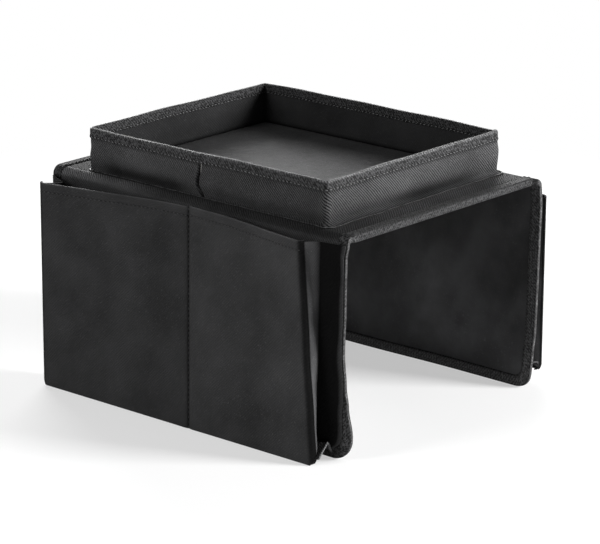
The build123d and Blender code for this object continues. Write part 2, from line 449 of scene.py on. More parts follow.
def side_bend(side):
    """What a piece that crosses the fold on one side would bend between, and where."""
    way = SIDES[side]
    start = (way * FOLD_LINE, 0, LEDGE_LEVEL)
    end = (way * FLAP_OUTSIDE, 0, FOLD_LEVEL)
    return "saddle", side + "_flap", start, end


def sheet_bend(side, half):
    """Where a pocket sheet would bend: from its leaning seam, which stays on the flap."""
    foot, mouth = seam_ends()
    start = np.array([0, mouth[1], mouth[2]])
    up = np.array([0, mouth[1] - foot[1], mouth[2] - foot[2]])
    along = np.array([0, up[2], -up[1]]) / np.linalg.norm(up)
    end = start + along * HALVES[half] * SHEET_BEND_RUN
    return side + "_flap", f"{side}_{half}_pocket", tuple(start), tuple(end)


def bellows_bend(side, half):
    """Where a bellows would bend: it would follow the flap at its inner edge and the sheet at its
    outer one.
    """
    way = SIDES[side]
    start = (way * (FLAP_OUTSIDE + TAPE), 0, 0)
    end = (way * pocket_corners(side, half)["end_top"][0], 0, 0)
    return side + "_flap", f"{side}_{half}_pocket", start, end


# Node trees
class Signal:
    """A number under way in a node tree, which can be calculated with."""

    def __init__(self, network, socket):
        self.network = network
        self.socket = socket

    def step(self, operation, first, second=None):
        node = self.network.node("ShaderNodeMath", {"operation": operation})
        self.network.feed(node.inputs[0], first)
        if second is not None:
            self.network.feed(node.inputs[1], second)
        return Signal(self.network, node.outputs[0])

    def __add__(self, other):
        return self.step("ADD", self, other)

    def __sub__(self, other):
        return self.step("SUBTRACT", self, other)

    def __rsub__(self, other):
        return self.step("SUBTRACT", other, self)

    def __mul__(self, other):
        return self.step("MULTIPLY", self, other)

    def __truediv__(self, other):
        return self.step("DIVIDE", self, other)

    def __rtruediv__(self, other):
        return self.step("DIVIDE", other, self)

    def at_least(self, other):
        return self.step("MAXIMUM", self, other)

    def at_most(self, other):
        return self.step("MINIMUM", self, other)

    def wave(self):
        """A sine, with a whole wave from each whole number to the next."""
        return self.step("SINE", self * math.tau)

    def clamped(self):
        """The same number, held between 0 and 1."""
        self.socket.node.use_clamp = True
        return self


class Network:
    """A node tree under way, with the nodes that the finishes and the stage share."""

    def __init__(self, tree):
        self.tree = tree

    def feed(self, socket, value):
        """Links a signal or another node's output to a socket, or sets the socket's value."""
        value = value.socket if isinstance(value, Signal) else value
        if isinstance(value, bpy.types.NodeSocket):
            self.tree.links.new(value, socket)
        else:
            socket.default_value = value

    def node(self, kind, setup=None, **inputs):
        """A new node; a name of an input has _ in the place of each space."""
        node = self.tree.nodes.new(kind)
        for label, value in (setup or {}).items():
            setattr(node, label, value)
        for label, value in inputs.items():
            self.feed(node.inputs[label.replace("_", " ")], value)
        return node

    def scaled(self, vector, factor):
        setup = {"operation": "SCALE"}
        return self.node("ShaderNodeVectorMath", setup, Vector=vector, Scale=factor).outputs[0]

    def noise(self, vector, scale, detail=3.0, roughness=0.5):
        node = self.node(
            "ShaderNodeTexNoise", Vector=vector, Scale=scale, Detail=detail, Roughness=roughness
        )
        return Signal(self, node.outputs["Fac"])

    def colours(self, factor, first, second):
        """A mix of two colours, each an output or three numbers."""
        node = self.node("ShaderNodeMix", {"data_type": "RGBA"}, Factor=factor)
        for socket, colour in ((node.inputs[6], first), (node.inputs[7], second)):
            self.feed(socket, (*colour, 1) if isinstance(colour, tuple) else colour)
        return node.outputs[2]

    def rays(self, *kinds):
        """1 for each of the kinds of ray, and 0 for the others."""
        path = self.node("ShaderNodeLightPath").outputs
        seen = Signal(self, path[kinds[0]])
        for kind in kinds[1:]:
            seen = seen.at_least(path[kind])
        return seen

    def mix_shaders(self, factor, first, second, output):
        """Mixes two shader nodes and sends the result to a tree's output node."""
        mixed = self.node("ShaderNodeMixShader", Fac=factor)
        self.feed(mixed.inputs[1], first.outputs[0])
        self.feed(mixed.inputs[2], second.outputs[0])
        self.feed(output.inputs["Surface"], mixed.outputs[0])


# Shader groups
class Effect(Network):
    """A shader group under way; an input is given by its kind or, for a number, its value."""

    def __init__(self, name, inputs, outputs):
        super().__init__(bpy.data.node_groups.new(name, "ShaderNodeTree"))
        sockets = self.tree.interface
        for label, value in inputs.items():
            kind = value if isinstance(value, str) else "Float"
            socket = sockets.new_socket(label, in_out="INPUT", socket_type="NodeSocket" + kind)
            if kind == "Float":
                socket.default_value = value
        for label, kind in outputs.items():
            sockets.new_socket(label, in_out="OUTPUT", socket_type="NodeSocket" + kind)
        self.given = self.node("NodeGroupInput").outputs
        self.end = self.node("NodeGroupOutput")

    def number(self, label):
        return Signal(self, self.given[label])

    def parts(self, vector):
        """X and Y of a place or a map."""
        outputs = self.node("ShaderNodeSeparateXYZ", Vector=vector).outputs
        return Signal(self, outputs[0]), Signal(self, outputs[1])

    def finish(self, **outputs):
        for label, value in outputs.items():
            self.feed(self.end.inputs[label], value)
        return self.tree


def twill_weave():
    """Diagonal ribs crossed by threads, from a map in real lengths."""
    inputs = {"Map": "Vector", "Pitch": 0.0022, "Unevenness": 0.5}
    effect = Effect("twill_weave", inputs, {"Height": "Float", "Shade": "Float"})
    scaled = effect.scaled(effect.given["Map"], 1.0 / effect.number("Pitch"))
    uneven = effect.noise(scaled, 0.8)
    x, y = effect.parts(scaled)
    rib = (x + y + uneven * effect.number("Unevenness")).wave()
    cross = (x - y * 1.9).wave()
    height = (rib * 0.6 + cross * 0.2 + 0.5).clamped()
    return effect.finish(Height=height, Shade=height * (uneven + 0.5))


def cloth_cloud():
    """Broad uneven patches, as light nap and handling leave on dark cloth, and specks of lint."""
    inputs = {"Place": "Vector", "Size": 0.05, "Contrast": 0.5}
    effect = Effect("cloth_cloud", inputs, {"Patches": "Float", "Lint": "Float"})
    scaled = effect.scaled(effect.given["Place"], 1.0 / effect.number("Size"))
    broad = effect.noise(scaled, 1.0, 4.0, 0.55)
    patches = (broad - 0.5) * effect.number("Contrast") + 0.5
    speck = effect.noise(scaled, 38.0, 1.0) - 0.62
    return effect.finish(Patches=patches, Lint=speck.at_least(0.0) * 4.0)


def tape_ribs():
    """Slanting ribs of a woven tape and the beads of its edge, from a map that runs along it."""
    inputs = {"Map": "Vector", "Pitch": 0.0016, "Bead pitch": 0.0032}
    effect = Effect("tape_ribs", inputs, {"Height": "Float", "Beads": "Float"})
    x, y = effect.parts(effect.given["Map"])
    along, across = x / effect.number("Pitch"), y / effect.number("Pitch")
    uneven = effect.noise(effect.given["Map"], 260.0, 1.0)
    rib = (along + across * 0.9 + uneven).wave()
    cross = (across * 1.3).wave()
    height = (rib * 0.55 + cross * 0.2 + 0.5).clamped()
    beads = ((x / effect.number("Bead pitch")).wave() * 0.65 + 0.35).clamped()
    return effect.finish(Height=height, Beads=beads)


def worn_colour():
    """Paints shade into a colour in creases and a highlight onto it on crests: darker by the crease
    amount, lighter by the crest amount.
    """
    inputs = {"Colour": "Color", "Crease": 0.0, "Crest": 0.0, "Crease depth": 0.9}
    effect = Effect("worn_colour", {**inputs, "Crest gain": 2.8}, {"Colour": "Color"})
    darker = (1.0 - effect.number("Crease") * effect.number("Crease depth")).at_least(0.0)
    raised = effect.number("Crest") * effect.number("Crest gain")
    return effect.finish(Colour=effect.scaled(effect.given["Colour"], darker * (raised + 1.0)))


# Materials
class Surface(Network):
    """A material under way, with its shader and its map and place outputs."""

    def __init__(self, name):
        self.material = bpy.data.materials.new(name)
        self.material.use_nodes = True
        super().__init__(self.material.node_tree)
        self.shader = self.tree.nodes["Principled BSDF"]
        self.place = self.node("ShaderNodeTexCoord").outputs["Object"]
        self.map = self.node("ShaderNodeUVMap", {"uv_map": "cloth"}).outputs[0]

    def effect(self, name, **inputs):
        return self.node("ShaderNodeGroup", {"node_tree": effects[name]}, **inputs).outputs

    def grain(self, scale, detail=3.0):
        return self.noise(self.place, scale, detail)

    def stored(self, label):
        """A value that the mesh stores at its points."""
        node = self.node("ShaderNodeAttribute", {"attribute_name": label})
        return Signal(self, node.outputs["Fac"])

    def patched(self, patches, colour, contrast):
        """A colour made lighter and darker by patches round a half."""
        return self.scaled(colour, Signal(self, patches) * contrast + (1 - contrast / 2))

    # Paints the shade and highlight that the mesh stores at its points into a colour
    def worn(self, colour, crest=None):
        crest = crest or self.stored("crest")
        crease = self.stored("crease")
        return self.effect("worn", Colour=colour, Crease=crease, Crest=crest)["Colour"]

    def bump(self, height, distance, strength, before=None):
        node = self.node("ShaderNodeBump", Height=height, Distance=distance, Strength=strength)
        if before is not None:
            self.feed(node.inputs["Normal"], before)
        return node.outputs["Normal"]

    def finish(self, colour, normal=None, **values):
        """Gives the shader its colour, its normal and its other values."""
        self.feed(self.shader.inputs["Base Color"], colour)
        if normal is not None:
            self.feed(self.shader.inputs["Normal"], normal)
        for label, value in values.items():
            self.feed(self.shader.inputs[label.replace("_", " ")], value)
        return self.material


SOFT_NAP = {"Sheen_Weight": 0.03, "Sheen_Roughness": 0.5}


def scaled_colour(colour, factor):
    """A colour made lighter or darker."""
    return tuple(min(1.0, channel * factor) for channel in colour)


def twill_material(name, lift=1.0, ribs=1.0, gloss=0.1):
    """Twill; lift scales its colour, ribs the contrast of its weave."""
    look = settings().colours
    surface = Surface(name)
    weave = surface.effect("twill", Map=surface.map, Pitch=look.twill_pitch)
    cloud = surface.effect("cloud", Place=surface.place, Size=0.055, Contrast=2.6)
    dark = scaled_colour(look.twill, (1 - ribs) * lift)
    pale = scaled_colour(look.twill, (1 + ribs) * lift)
    woven = surface.colours(weave["Shade"], dark, pale)
    wear = (surface.grain(11.0) * 1.6 - 0.5 + surface.stored("grain")).clamped()
    grainy = surface.colours(wear, scaled_colour(look.twill, lift), woven)
    clouded = surface.patched(cloud["Patches"], grainy, 0.7)
    linted = surface.colours(cloud["Lint"], clouded, scaled_colour(look.twill, 2.5 * lift))
    rough = surface.grain(140.0) * 0.2 + 0.56 + surface.stored("crease") * 0.35
    threads = surface.bump(weave["Height"], 0.6 * MM, 0.9 * ribs)
    crumple = surface.bump(surface.grain(28.0), 1.8 * MM, 0.35, threads)
    return surface.finish(
        surface.worn(linted), crumple, Roughness=rough, Specular_IOR_Level=gloss, **SOFT_NAP
    )


def lining_material():
    colour = settings().colours.lining
    surface = Surface("black_lining")
    cloud = surface.effect("cloud", Place=surface.place, Size=0.07, Contrast=3.0)
    dark, pale = scaled_colour(colour, 0.5), scaled_colour(colour, 1.5)
    clouded = surface.colours(cloud["Patches"], dark, pale)
    linted = surface.colours(cloud["Lint"], clouded, scaled_colour(colour, 1.7))
    weave = surface.effect("twill", Map=surface.map, Pitch=0.0011, Unevenness=0.6)
    threads = surface.bump(weave["Height"], 0.12 * MM, 0.5)
    crumple = surface.bump(surface.grain(16.0, 4.0), 4.5 * MM, 0.5, threads)
    return surface.finish(
        surface.worn(linted), crumple, Roughness=0.6, Specular_IOR_Level=0.12, **SOFT_NAP
    )


def tape_material():
    """Rough tape with a painted highlight on its crests, which alone carry a gloss."""
    colour = settings().colours.tape
    surface = Surface("black_tape")
    ribs = surface.effect("tape", Map=surface.map, Pitch=0.0032)
    speck = (surface.grain(450.0, 1.0) - 0.5) * 4.2
    rough_ribs = (speck + ribs["Height"]).clamped()
    speckled = surface.colours(rough_ribs, scaled_colour(colour, 0.15), scaled_colour(colour, 1.6))
    # Painted highlight on the crests, in beads along the edge
    beaded = surface.stored("crest") * ribs["Beads"]
    return surface.finish(
        surface.worn(speckled, beaded),
        surface.bump(rough_ribs, 0.5 * MM, 0.9),
        Coat_Weight=surface.stored("crest").at_most(1.0),
        Coat_Roughness=0.38,
        Roughness=0.75,
        Specular_IOR_Level=0.15,
        **SOFT_NAP,
    )


def fibre_material(name, grain, dark, pale, distance, strength, **values):
    """Fibres or twisted strands; grain holds their scale and detail."""
    surface = Surface(name)
    fibre = surface.grain(*grain)
    normal = surface.bump(fibre, distance, strength)
    return surface.finish(surface.colours(fibre, dark, pale), normal, **values)


def thread_material(name, lift, gloss):
    colour = scaled_colour(settings().colours.thread, lift)
    dark, pale = scaled_colour(colour, 0.6), scaled_colour(colour, 1.6)
    values = {"Roughness": 0.5, "Sheen_Weight": 0.03, "Specular_IOR_Level": gloss}
    return fibre_material(name, (900.0, 2.0), dark, pale, 0.1 * MM, 0.6, **values)


def make_materials():
    effects.update(
        twill=twill_weave(), cloud=cloth_cloud(), tape=tape_ribs(), worn=worn_colour()
    )
    board_dark, board_pale = (0.10, 0.098, 0.092), (0.17, 0.165, 0.155)
    felt_dark, felt_pale = (0.05, 0.05, 0.05), (0.11, 0.11, 0.11)
    materials.update(
        twill=twill_material("black_twill"),
        floor_twill=twill_material("floor_twill", 1.03, 0.8),
        # A darker, calmer copy of the twill: the darkening is painted shade on the inner wall, the
        # pocket sheets and the end bellows
        calm_twill=twill_material("calm_twill", 0.71, 0.3, 0.08),
        lining=lining_material(),
        tape=tape_material(),
        # Lighter and darker copies of one thread: the lighter one paints a highlight into the rim's
        # stitches, the darker one paints shade into the others
        thread=thread_material("sewing_thread", 0.75, 0.25),
        dark_thread=thread_material("dark_thread", 0.22, 0.12),
        board=fibre_material(
            "grey_board", (260.0, 5.0), board_dark, board_pale, 0.15 * MM, 0.5, Roughness=0.85
        ),
        felt=fibre_material(
            "interlining_felt",
            (420.0, 6.0),
            felt_dark,
            felt_pale,
            0.3 * MM,
            0.7,
            Roughness=0.95,
            Sheen_Weight=0.3,
        ),
    )


# The tray's wall, followed round at any depth
def tray_outline():
    """Points round the tray at its outer face: place, outward direction and running length."""
    radius = settings().tray.corner_radius
    straight_x, straight_y = TRAY_HALF_X - radius, TRAY_HALF_Y - radius
    step, fine_step, fine_reach, corner_steps = 3.5 * MM, 0.5 * MM, 9 * MM, 8
    runs = [
        ((TRAY_HALF_X, -straight_y), (TRAY_HALF_X, straight_y), 0),
        ((straight_x, TRAY_HALF_Y), (-straight_x, TRAY_HALF_Y), 90),
        ((-TRAY_HALF_X, straight_y), (-TRAY_HALF_X, -straight_y), 180),
        ((-straight_x, -TRAY_HALF_Y), (straight_x, -TRAY_HALF_Y), 270),
    ]
    places, directions = [], []
    for start, end, angle in runs:
        start, end = np.array(start), np.array(end)
        length = np.linalg.norm(end - start)
        shares = list(np.linspace(0, 1, int(length / step) + 1))
        if angle == 180:
            join = (start[1] - JOIN_PLACE) / length
            shares += list(join + np.arange(-fine_reach, fine_reach, fine_step) / length)
        facing = math.radians(angle)
        out = np.array((math.cos(facing), math.sin(facing)))
        for share in np.unique(np.round(shares, 6)):
            places.append(start + (end - start) * share)
            directions.append(out)
        centre = end - radius * out
        for k in range(1, corner_steps):
            turn = facing + math.pi / 2 * k / corner_steps
            out = np.array((math.cos(turn), math.sin(turn)))
            places.append(centre + out * radius)
            directions.append(out)
    places, directions = np.array(places), np.array(directions)
    return places, directions, lengths_along(np.vstack([places, places[:1]]))


def belly(rise, peak):
    """A bulge over a rise from 0 to 1, fullest at the peak."""
    return np.sin(math.pi * np.clip(rise, 0, 1) ** (math.log(0.5) / math.log(peak)))


class Wall:
    """The wall with a share of its cloth's unevenness, to take lines and rings from."""

    def __init__(self, seed_shift=0, swell_share=1.0, flare_share=1.0):
        self.places, self.directions, self.run = tray_outline()
        self.seed_shift = seed_shift
        self.swell_share = swell_share
        self.flare_share = flare_share

    def facing(self, axis, way):
        """1 where the wall faces one way along an axis, easing to 0 at its corners."""
        half = (TRAY_HALF_X, TRAY_HALF_Y)[axis]
        return smooth_step(way * self.places[:, axis], half - 8 * MM, half - 0.5 * MM)

    def foot_turn(self):
        """How much of the foot flare the cloth takes at each place round the tray."""
        x, y = self.places.T
        front = smooth_step(-y, TRAY_HALF_Y - 10 * MM, TRAY_HALF_Y - MM)
        along_side = mix(0.1, 0.6, smooth_step(-y, -TRAY_HALF_Y, TRAY_HALF_Y))
        along_front = mix(1.0, 0.75, smooth_step(x, -TRAY_HALF_X, TRAY_HALF_X))
        return mix(along_side, along_front, front)

    def field(self, level):
        """How far the cloth stands out, turns out at its foot and lies higher, at a level."""
        shape = settings().tray
        run, height = self.run[:-1], level - LEDGE_LEVEL
        rise = height / WALL_HEIGHT
        waves = soft_waves(WALL_WAVES + self.seed_shift, run, level * 1.6, 95 * MM)
        ripples = soft_waves(WALL_RIPPLES + self.seed_shift, run * 1.5, level * 2.5, 34 * MM)
        front, left = self.facing(1, -1), self.facing(0, -1)
        fullness = front * belly((rise - 0.14) / 0.86, 0.5) + left * belly(rise, 0.4)
        fullness = fullness + (1 - np.clip(front + left, 0, 1)) * belly(rise, 0.5) * 0.6
        fullness = fullness * (1 - 0.6 * smooth_step(level, HEM_LEVEL - 9 * MM, HEM_LEVEL))
        swell = shape.wall_swell * np.maximum(0.6 + 0.35 * waves + 0.14 * ripples, 0) * fullness
        turned = 0.85 * np.clip(1 - height / (4 * MM), 0, 1) ** 2
        turned = turned + 0.15 * (1 - smooth_step(rise, 0, 0.3))
        flare = shape.foot_flare * self.foot_turn() * turned * (1 + 0.12 * ripples)
        lift = shape.rim_wave * soft_waves(RIM_WAVES, run, run * 0, 120 * MM) * rise
        return swell, flare, lift

    def line(self, inset, level):
        """One line round the wall at an inset and level."""
        swell, flare, lift = self.field(level)
        out = swell * self.swell_share + flare * self.flare_share - inset
        return np.column_stack([self.places + self.directions * out[:, None], level + lift])

    def ring(self, profile):
        """Sections and map of a ring with a closed profile of (inset, level) points."""
        sections = np.stack([self.line(inset, level) for inset, level in profile], axis=1)
        return sections, closed_uv(self.run, lengths_along(np.array([*profile, profile[0]])))


def join_distance(sections, levels):
    """How far points lie from the curved upright join in the left wall, along the wall."""
    rise = np.clip((levels - LEDGE_LEVEL) / (HEM_LEVEL - LEDGE_LEVEL), 0, 1)
    line = eased_curve(rise, [0, 0.4, 1], [0, 6.5 * MM, 4 * MM])
    distance = sections[..., 1] - line[None, :]
    return np.where(sections[..., 0] < -TRAY_HALF_X + 5 * MM, distance, 1.0)


class SOFATRAY_OT_tray_wall(Operator):
    """Makes the wall's outer and inner cloth, the band over its rim and the welt at its foot"""

    bl_idname = "sofatray.tray_wall"
    bl_label = "Tray wall"

    def execute(self, context):
        self.outer_cloth()
        self.inner_cloth()
        self.rim_band()
        self.foot_welt()
        return {"FINISHED"}

    def cloth_ring(self, wall, first_inset, second_inset):
        """Sections and map of the wall's cloth between two insets, and its points' levels."""
        levels = spread(LEDGE_LEVEL, HEM_LEVEL + 2 * MM, 2.2 * MM, fine_near_start=True)
        profile = [(first_inset, level) for level in levels]
        profile += [(second_inset, level) for level in levels[::-1]]
        return *wall.ring(profile), np.array([level for _, level in profile])

    def outer_cloth(self):
        wall = Wall()
        sections, uv, levels = self.cloth_ring(wall, CLOTH, 2 * CLOTH)
        distance = join_distance(sections, levels)
        lip = ridge(distance - 2.4 * MM, 1.3 * MM)
        sections[..., 0] += settings().tray.join_groove * (ridge(distance, 1.0 * MM) - 0.6 * lip)
        mesh = ring_mesh("tray_outer_cloth", sections, uv)
        self.shade_outer_cloth(mesh, sections, levels, distance)
        piece = add_piece(mesh, "twill", ["tray_outer_band"], "saddle")

    def shade_outer_cloth(self, mesh, sections, levels, distance):
        """Painted shade at the foot, along the hem, in the join and over the pinch above the foot;
        on the front its weave shows more and a faint painted highlight lies on the belly.
        """
        x, y = sections[..., 0], sections[..., 1]
        height = levels - LEDGE_LEVEL
        foot = fading(height, 0.9 * MM)
        pinch = ridge(height - 5 * MM, 7 * MM)
        hem = ridge(levels - HEM_LEVEL, 1.0 * MM)
        # Strength of the painted shade over the pinch: along Y, and on the front along X
        worn = eased_curve(y / MM, [-105, -60, 8, 40, 110, 140], [0.45, 0.55, 0.5, 1.0, 1.0, 0.5])
        worn_front = eased_curve(x / MM, [-115, -60, 10, 60, 100], [0.35, 0.55, 1.0, 0.9, 0.3])
        worn = mix(worn, worn_front, smooth_step(-y, TRAY_HALF_Y - 8 * MM, TRAY_HALF_Y - 4 * MM))
        crease = np.maximum(0.4 * foot + 0.45 * hem, worn * pinch)
        crease = np.clip(np.maximum(crease, 1.2 * ridge(distance, 1.2 * MM)), 0, 1)
        on_front = smooth_step(-y, TRAY_HALF_Y - 6 * MM, TRAY_HALF_Y - 2 * MM)
        rise = height / WALL_HEIGHT
        faded = 1.3 * smooth_step(x, -TRAY_HALF_X, TRAY_HALF_X) * rise
        grain = np.maximum(0.35, on_front * (1 - faded))
        set_shade(mesh, crease=crease, grain=grain, crest=0.07 * on_front * belly(rise, 0.6))

    def inner_cloth(self):
        wall = Wall(INNER_WALL_SHIFT, -0.9, 0)
        insets = WALL_STACK - 2 * CLOTH, WALL_STACK - CLOTH
        sections, uv, levels = self.cloth_ring(wall, *insets)
        mesh = ring_mesh("tray_inner_cloth", sections, uv)
        # Painted shade: darkest at the foot over the insert, deeper in the corners and a little
        # everywhere
        foot = fading(np.maximum(levels - INSERT_HIGH.z, 0), 3.2 * MM)
        gap_x = TRAY_HALF_X - np.abs(sections[..., 0])
        gap_y = TRAY_HALF_Y - np.abs(sections[..., 1])
        to_corner = np.maximum(gap_x, gap_y) - settings().tray.corner_radius
        corner = 0.4 * fading(np.maximum(to_corner, 0), 3 * MM)
        set_shade(mesh, crease=np.maximum(np.maximum(foot, 0.3), corner))
        piece = add_piece(mesh, "calm_twill", ["tray_inner_band"], "saddle")

    def rim_band(self):
        radius, bulge, groove = 1.9 * MM, -0.25 * MM, 0.15 * MM
        row = settings().stitches.edge_inset
        outside = [
            (0.1 * MM, HEM_LEVEL),
            (bulge, HEM_LEVEL + 0.5 * row),
            (groove, HEM_LEVEL + row),
            (bulge, HEM_LEVEL + 1.5 * row),
            (0, HEM_LEVEL + 4 * MM),
        ]
        for turn in np.linspace(0, math.pi / 2, 5):
            level = RIM_LEVEL - radius * (1 - math.sin(turn))
            outside.append((radius * (1 - math.cos(turn)), level))
        across = [(WALL_STACK - inset, level) for inset, level in reversed(outside)]
        under = RIM_LEVEL - CLOTH
        inside = [
            (WALL_STACK - CLOTH, HEM_LEVEL),
            (WALL_STACK - CLOTH, under - CLOTH),
            (WALL_STACK - 2 * CLOTH, under),
            (2 * CLOTH, under),
            (CLOTH, under - CLOTH),
            (CLOTH, HEM_LEVEL),
        ]
        profile = outside + across + inside
        wall = Wall(0, 0.35, 0)
        sections, uv = wall.ring(profile)
        mesh = ring_mesh("rim_band", sections, uv)
        insets, levels = np.array(profile).T
        # Painted shade along the row and at the band's lower edge, and a painted highlight along
        # its top fold
        crease = ridge(levels - HEM_LEVEL - row, 0.8 * MM)
        crease = crease + 0.6 * ridge(levels - HEM_LEVEL, 0.3 * MM)
        at_top = smooth_step(levels, RIM_LEVEL - 1.6 * MM, RIM_LEVEL - 0.2 * MM)
        crest = 2.2 * ridge(insets - 0.6 * MM, 0.7 * MM) * at_top
        crease, crest = (np.broadcast_to(shade, sections.shape[:2]) for shade in (crease, crest))
        set_shade(mesh, crease=crease, crest=crest)
        add_piece(mesh, "tape", ["tray_rim_binding"], "saddle")
        for depth in (-0.1 * MM, WALL_STACK + 0.1 * MM):
            line = wall.line(depth, HEM_LEVEL + row)
            add_row("saddle_stitches", line, closed=True, body="saddle")

    def foot_welt(self):
        radius = settings().tray.welt_radius
        # Inset and height in radii, then painted shade (crease) and painted highlight (crest)
        face = np.array([
            (1, 0, 0, 0),
            (-1.8, 0, 1, 0),
            (-1.8, 1.6, 1, 0),
            (-1.1, 2.1, 0, 0.4),
            (0.4, 2.6, 0, 0.4),
            (1.4, 2, 0, 0),
        ])
        wall = Wall()
        foot = wall.field(LEDGE_LEVEL)[1]
        lines = []
        for inset, height, _, _ in face:
            flat = wall.places + wall.directions * (foot - inset * radius)[:, None]
            lines.append(joined(flat[:, 0], flat[:, 1], LEDGE_LEVEL + height * radius))
        loop = np.vstack([face, face[:1]])[:, :2] * radius
        uv = closed_uv(wall.run, lengths_along(loop))
        mesh = ring_mesh("foot_welt", np.stack(lines, axis=1), uv)
        crease, crest = (np.tile(face[:, k], (len(foot), 1)) for k in (2, 3))
        set_shade(mesh, crease=crease, crest=crest)
        add_piece(mesh, "tape", ["tray_base_welt"], "saddle")


class SOFATRAY_OT_floor_insert(Operator):
    """Makes the cloth-covered board that lies in the tray"""

    bl_idname = "sofatray.floor_insert"
    bl_label = "Floor insert"

    def execute(self, context):
        radius = 1.3 * MM
        x, y = np.meshgrid(
            self.edge_places(INSERT_LOW.x, INSERT_HIGH.x, radius),
            self.edge_places(INSERT_LOW.y, INSERT_HIGH.y, radius),
            indexing="ij",
        )
        gap = np.minimum(
            np.minimum(x - INSERT_LOW.x, INSERT_HIGH.x - x),
            np.minimum(y - INSERT_LOW.y, INSERT_HIGH.y - y),
        )
        swell = 0.25 * MM * (1 + soft_waves(INSERT_WAVES, x, y, 110 * MM))
        swell = swell * smooth_step(gap, 0, 12 * MM)
        top = joined(x, y, INSERT_HIGH.z - round_off(gap, radius) + swell)
        mesh = shell_mesh("floor_cloth", top, joined(x, y, INSERT_LOW.z), joined(y, x))
        # Painted shade along the board's edges and over its underside
        shell_shade(mesh, 0.9 * fading(gap, 1.6 * MM), 1.0)
        set_shade(mesh, grain=np.full(2 * gap.size, 0.5))
        piece = add_piece(mesh, "floor_twill", ["floor_cover"], "floor_insert")
        return {"FINISHED"}

    def edge_places(self, start, end, reach):
        """Places from start to end, close together where an edge is rounded over a reach."""
        steps = reach * np.array([0, 0.15, 0.35, 0.65, 1.0])
        inner = np.linspace(start + 2 * reach, end - 2 * reach, 56)
        return np.concatenate([start + steps, inner, end - steps[::-1]])


# Flaps
# Levels and how far a flap's end edge stands out at them past its straight line, in millimetres
END_EDGES = {
    ("left", "front"): (
        [0, 24, 52, 69, 99, 150, 190, 203],
        [1.8, 2.5, -2.4, -4.9, -7.2, -5.5, -5.0, -2.5],
    ),
    ("left", "rear"): ([0, 60, 130, 203], [0.5, 1.0, -1.5, 0]),
    ("right", "front"): (
        [0, 19, 34, 60, 90, 120, 150, 185, 203],
        [2.5, -1.0, 0.2, 2.5, 3.4, 4.4, 5.3, 6.5, 5.5],
    ),
    ("right", "rear"): ([0, 50, 120, 203], [0, 1.5, -1.0, 0]),
}


def edge_shift(side, y, z):
    """How far a flap's end edges move along Y from their straight lines, as the cloth hangs."""
    total = 0
    for half, way in HALVES.items():
        out = eased_curve(z / MM, *END_EDGES[side, half]) * MM
        total = total + way * out * smooth_step(way * y, 0.5 * HALF_LENGTH, HALF_LENGTH)
    return total


def hang_flap(side, points):
    """Moves points of a flat flap, drawn on the +X side, to where the cloth hangs."""
    x, y, z = points[..., 0], points[..., 1], points[..., 2]
    below = smooth_step(FOLD_LEVEL - z, 0, 40 * MM)
    waves = soft_waves(FLAP_WAVES + SIDES[side], y, z, 210 * MM)
    moved = points.copy()
    moved[..., 0] += settings().flap.bow * waves * below
    moved[..., 1] += edge_shift(side, y, z) * smooth_step(x, FOLD_LINE, FOLD_LINE + 4 * MM)
    moved[..., 0] *= SIDES[side]
    return moved


def flap_foot(y, inset):
    """Height of a flap's rounded outline over each place along it."""
    radius = settings().flap.corner_radius - inset
    return inset + round_off(HALF_LENGTH - inset - np.abs(y), radius)


def fold_profile(outer):
    """X and level along the turn from the top to the flap, on the cloth's or the lining's face."""
    if outer:
        straight, turn_start, radius, count = [], FOLD_LINE, LEDGE_LEVEL - FOLD_LEVEL, 9
    else:
        radius, count = UNDERSIDE - FOLD_LEVEL, 6
        turn_start = FLAP_INSIDE - radius
        straight = [(x, UNDERSIDE) for x in np.linspace(FOLD_LINE, turn_start, 4)[:-1]]
    angles = math.pi / 2 * (1 - np.linspace(0, 1, count))
    arc = joined(turn_start + radius * np.cos(angles), FOLD_LEVEL + radius * np.sin(angles))
    return np.array([*straight, *arc])


def flap_grid(outer, face_x):
    """Points over the turn and down the flap, drawn on the +X side."""
    y = spread(-EDGE, EDGE, 4 * MM, True, True, 1.5 * MM)
    turn = fold_profile(outer)
    shares = np.arange(1, FLAP_ROWS + 1)[:, None] / FLAP_ROWS
    over = joined(turn[:, :1], y, turn[:, 1:])
    down = joined(face_x, y, FOLD_LEVEL + (flap_foot(y, TAPE) - FOLD_LEVEL) * shares)
    return np.concatenate([over, down])


def panel_uv(grid):
    """Map of a panel in real lengths: along Y and down the cloth."""
    middle = grid[:, grid.shape[1] // 2]
    return joined(grid[..., 1], lengths_along(middle)[:, None])


def hung_mesh(side, name, outer, inner, uv):
    """A shell of a flap, drawn flat on the +X side and hung where it belongs."""
    return shell_mesh(f"{side}_{name}", hang_flap(side, outer), hang_flap(side, inner), uv)


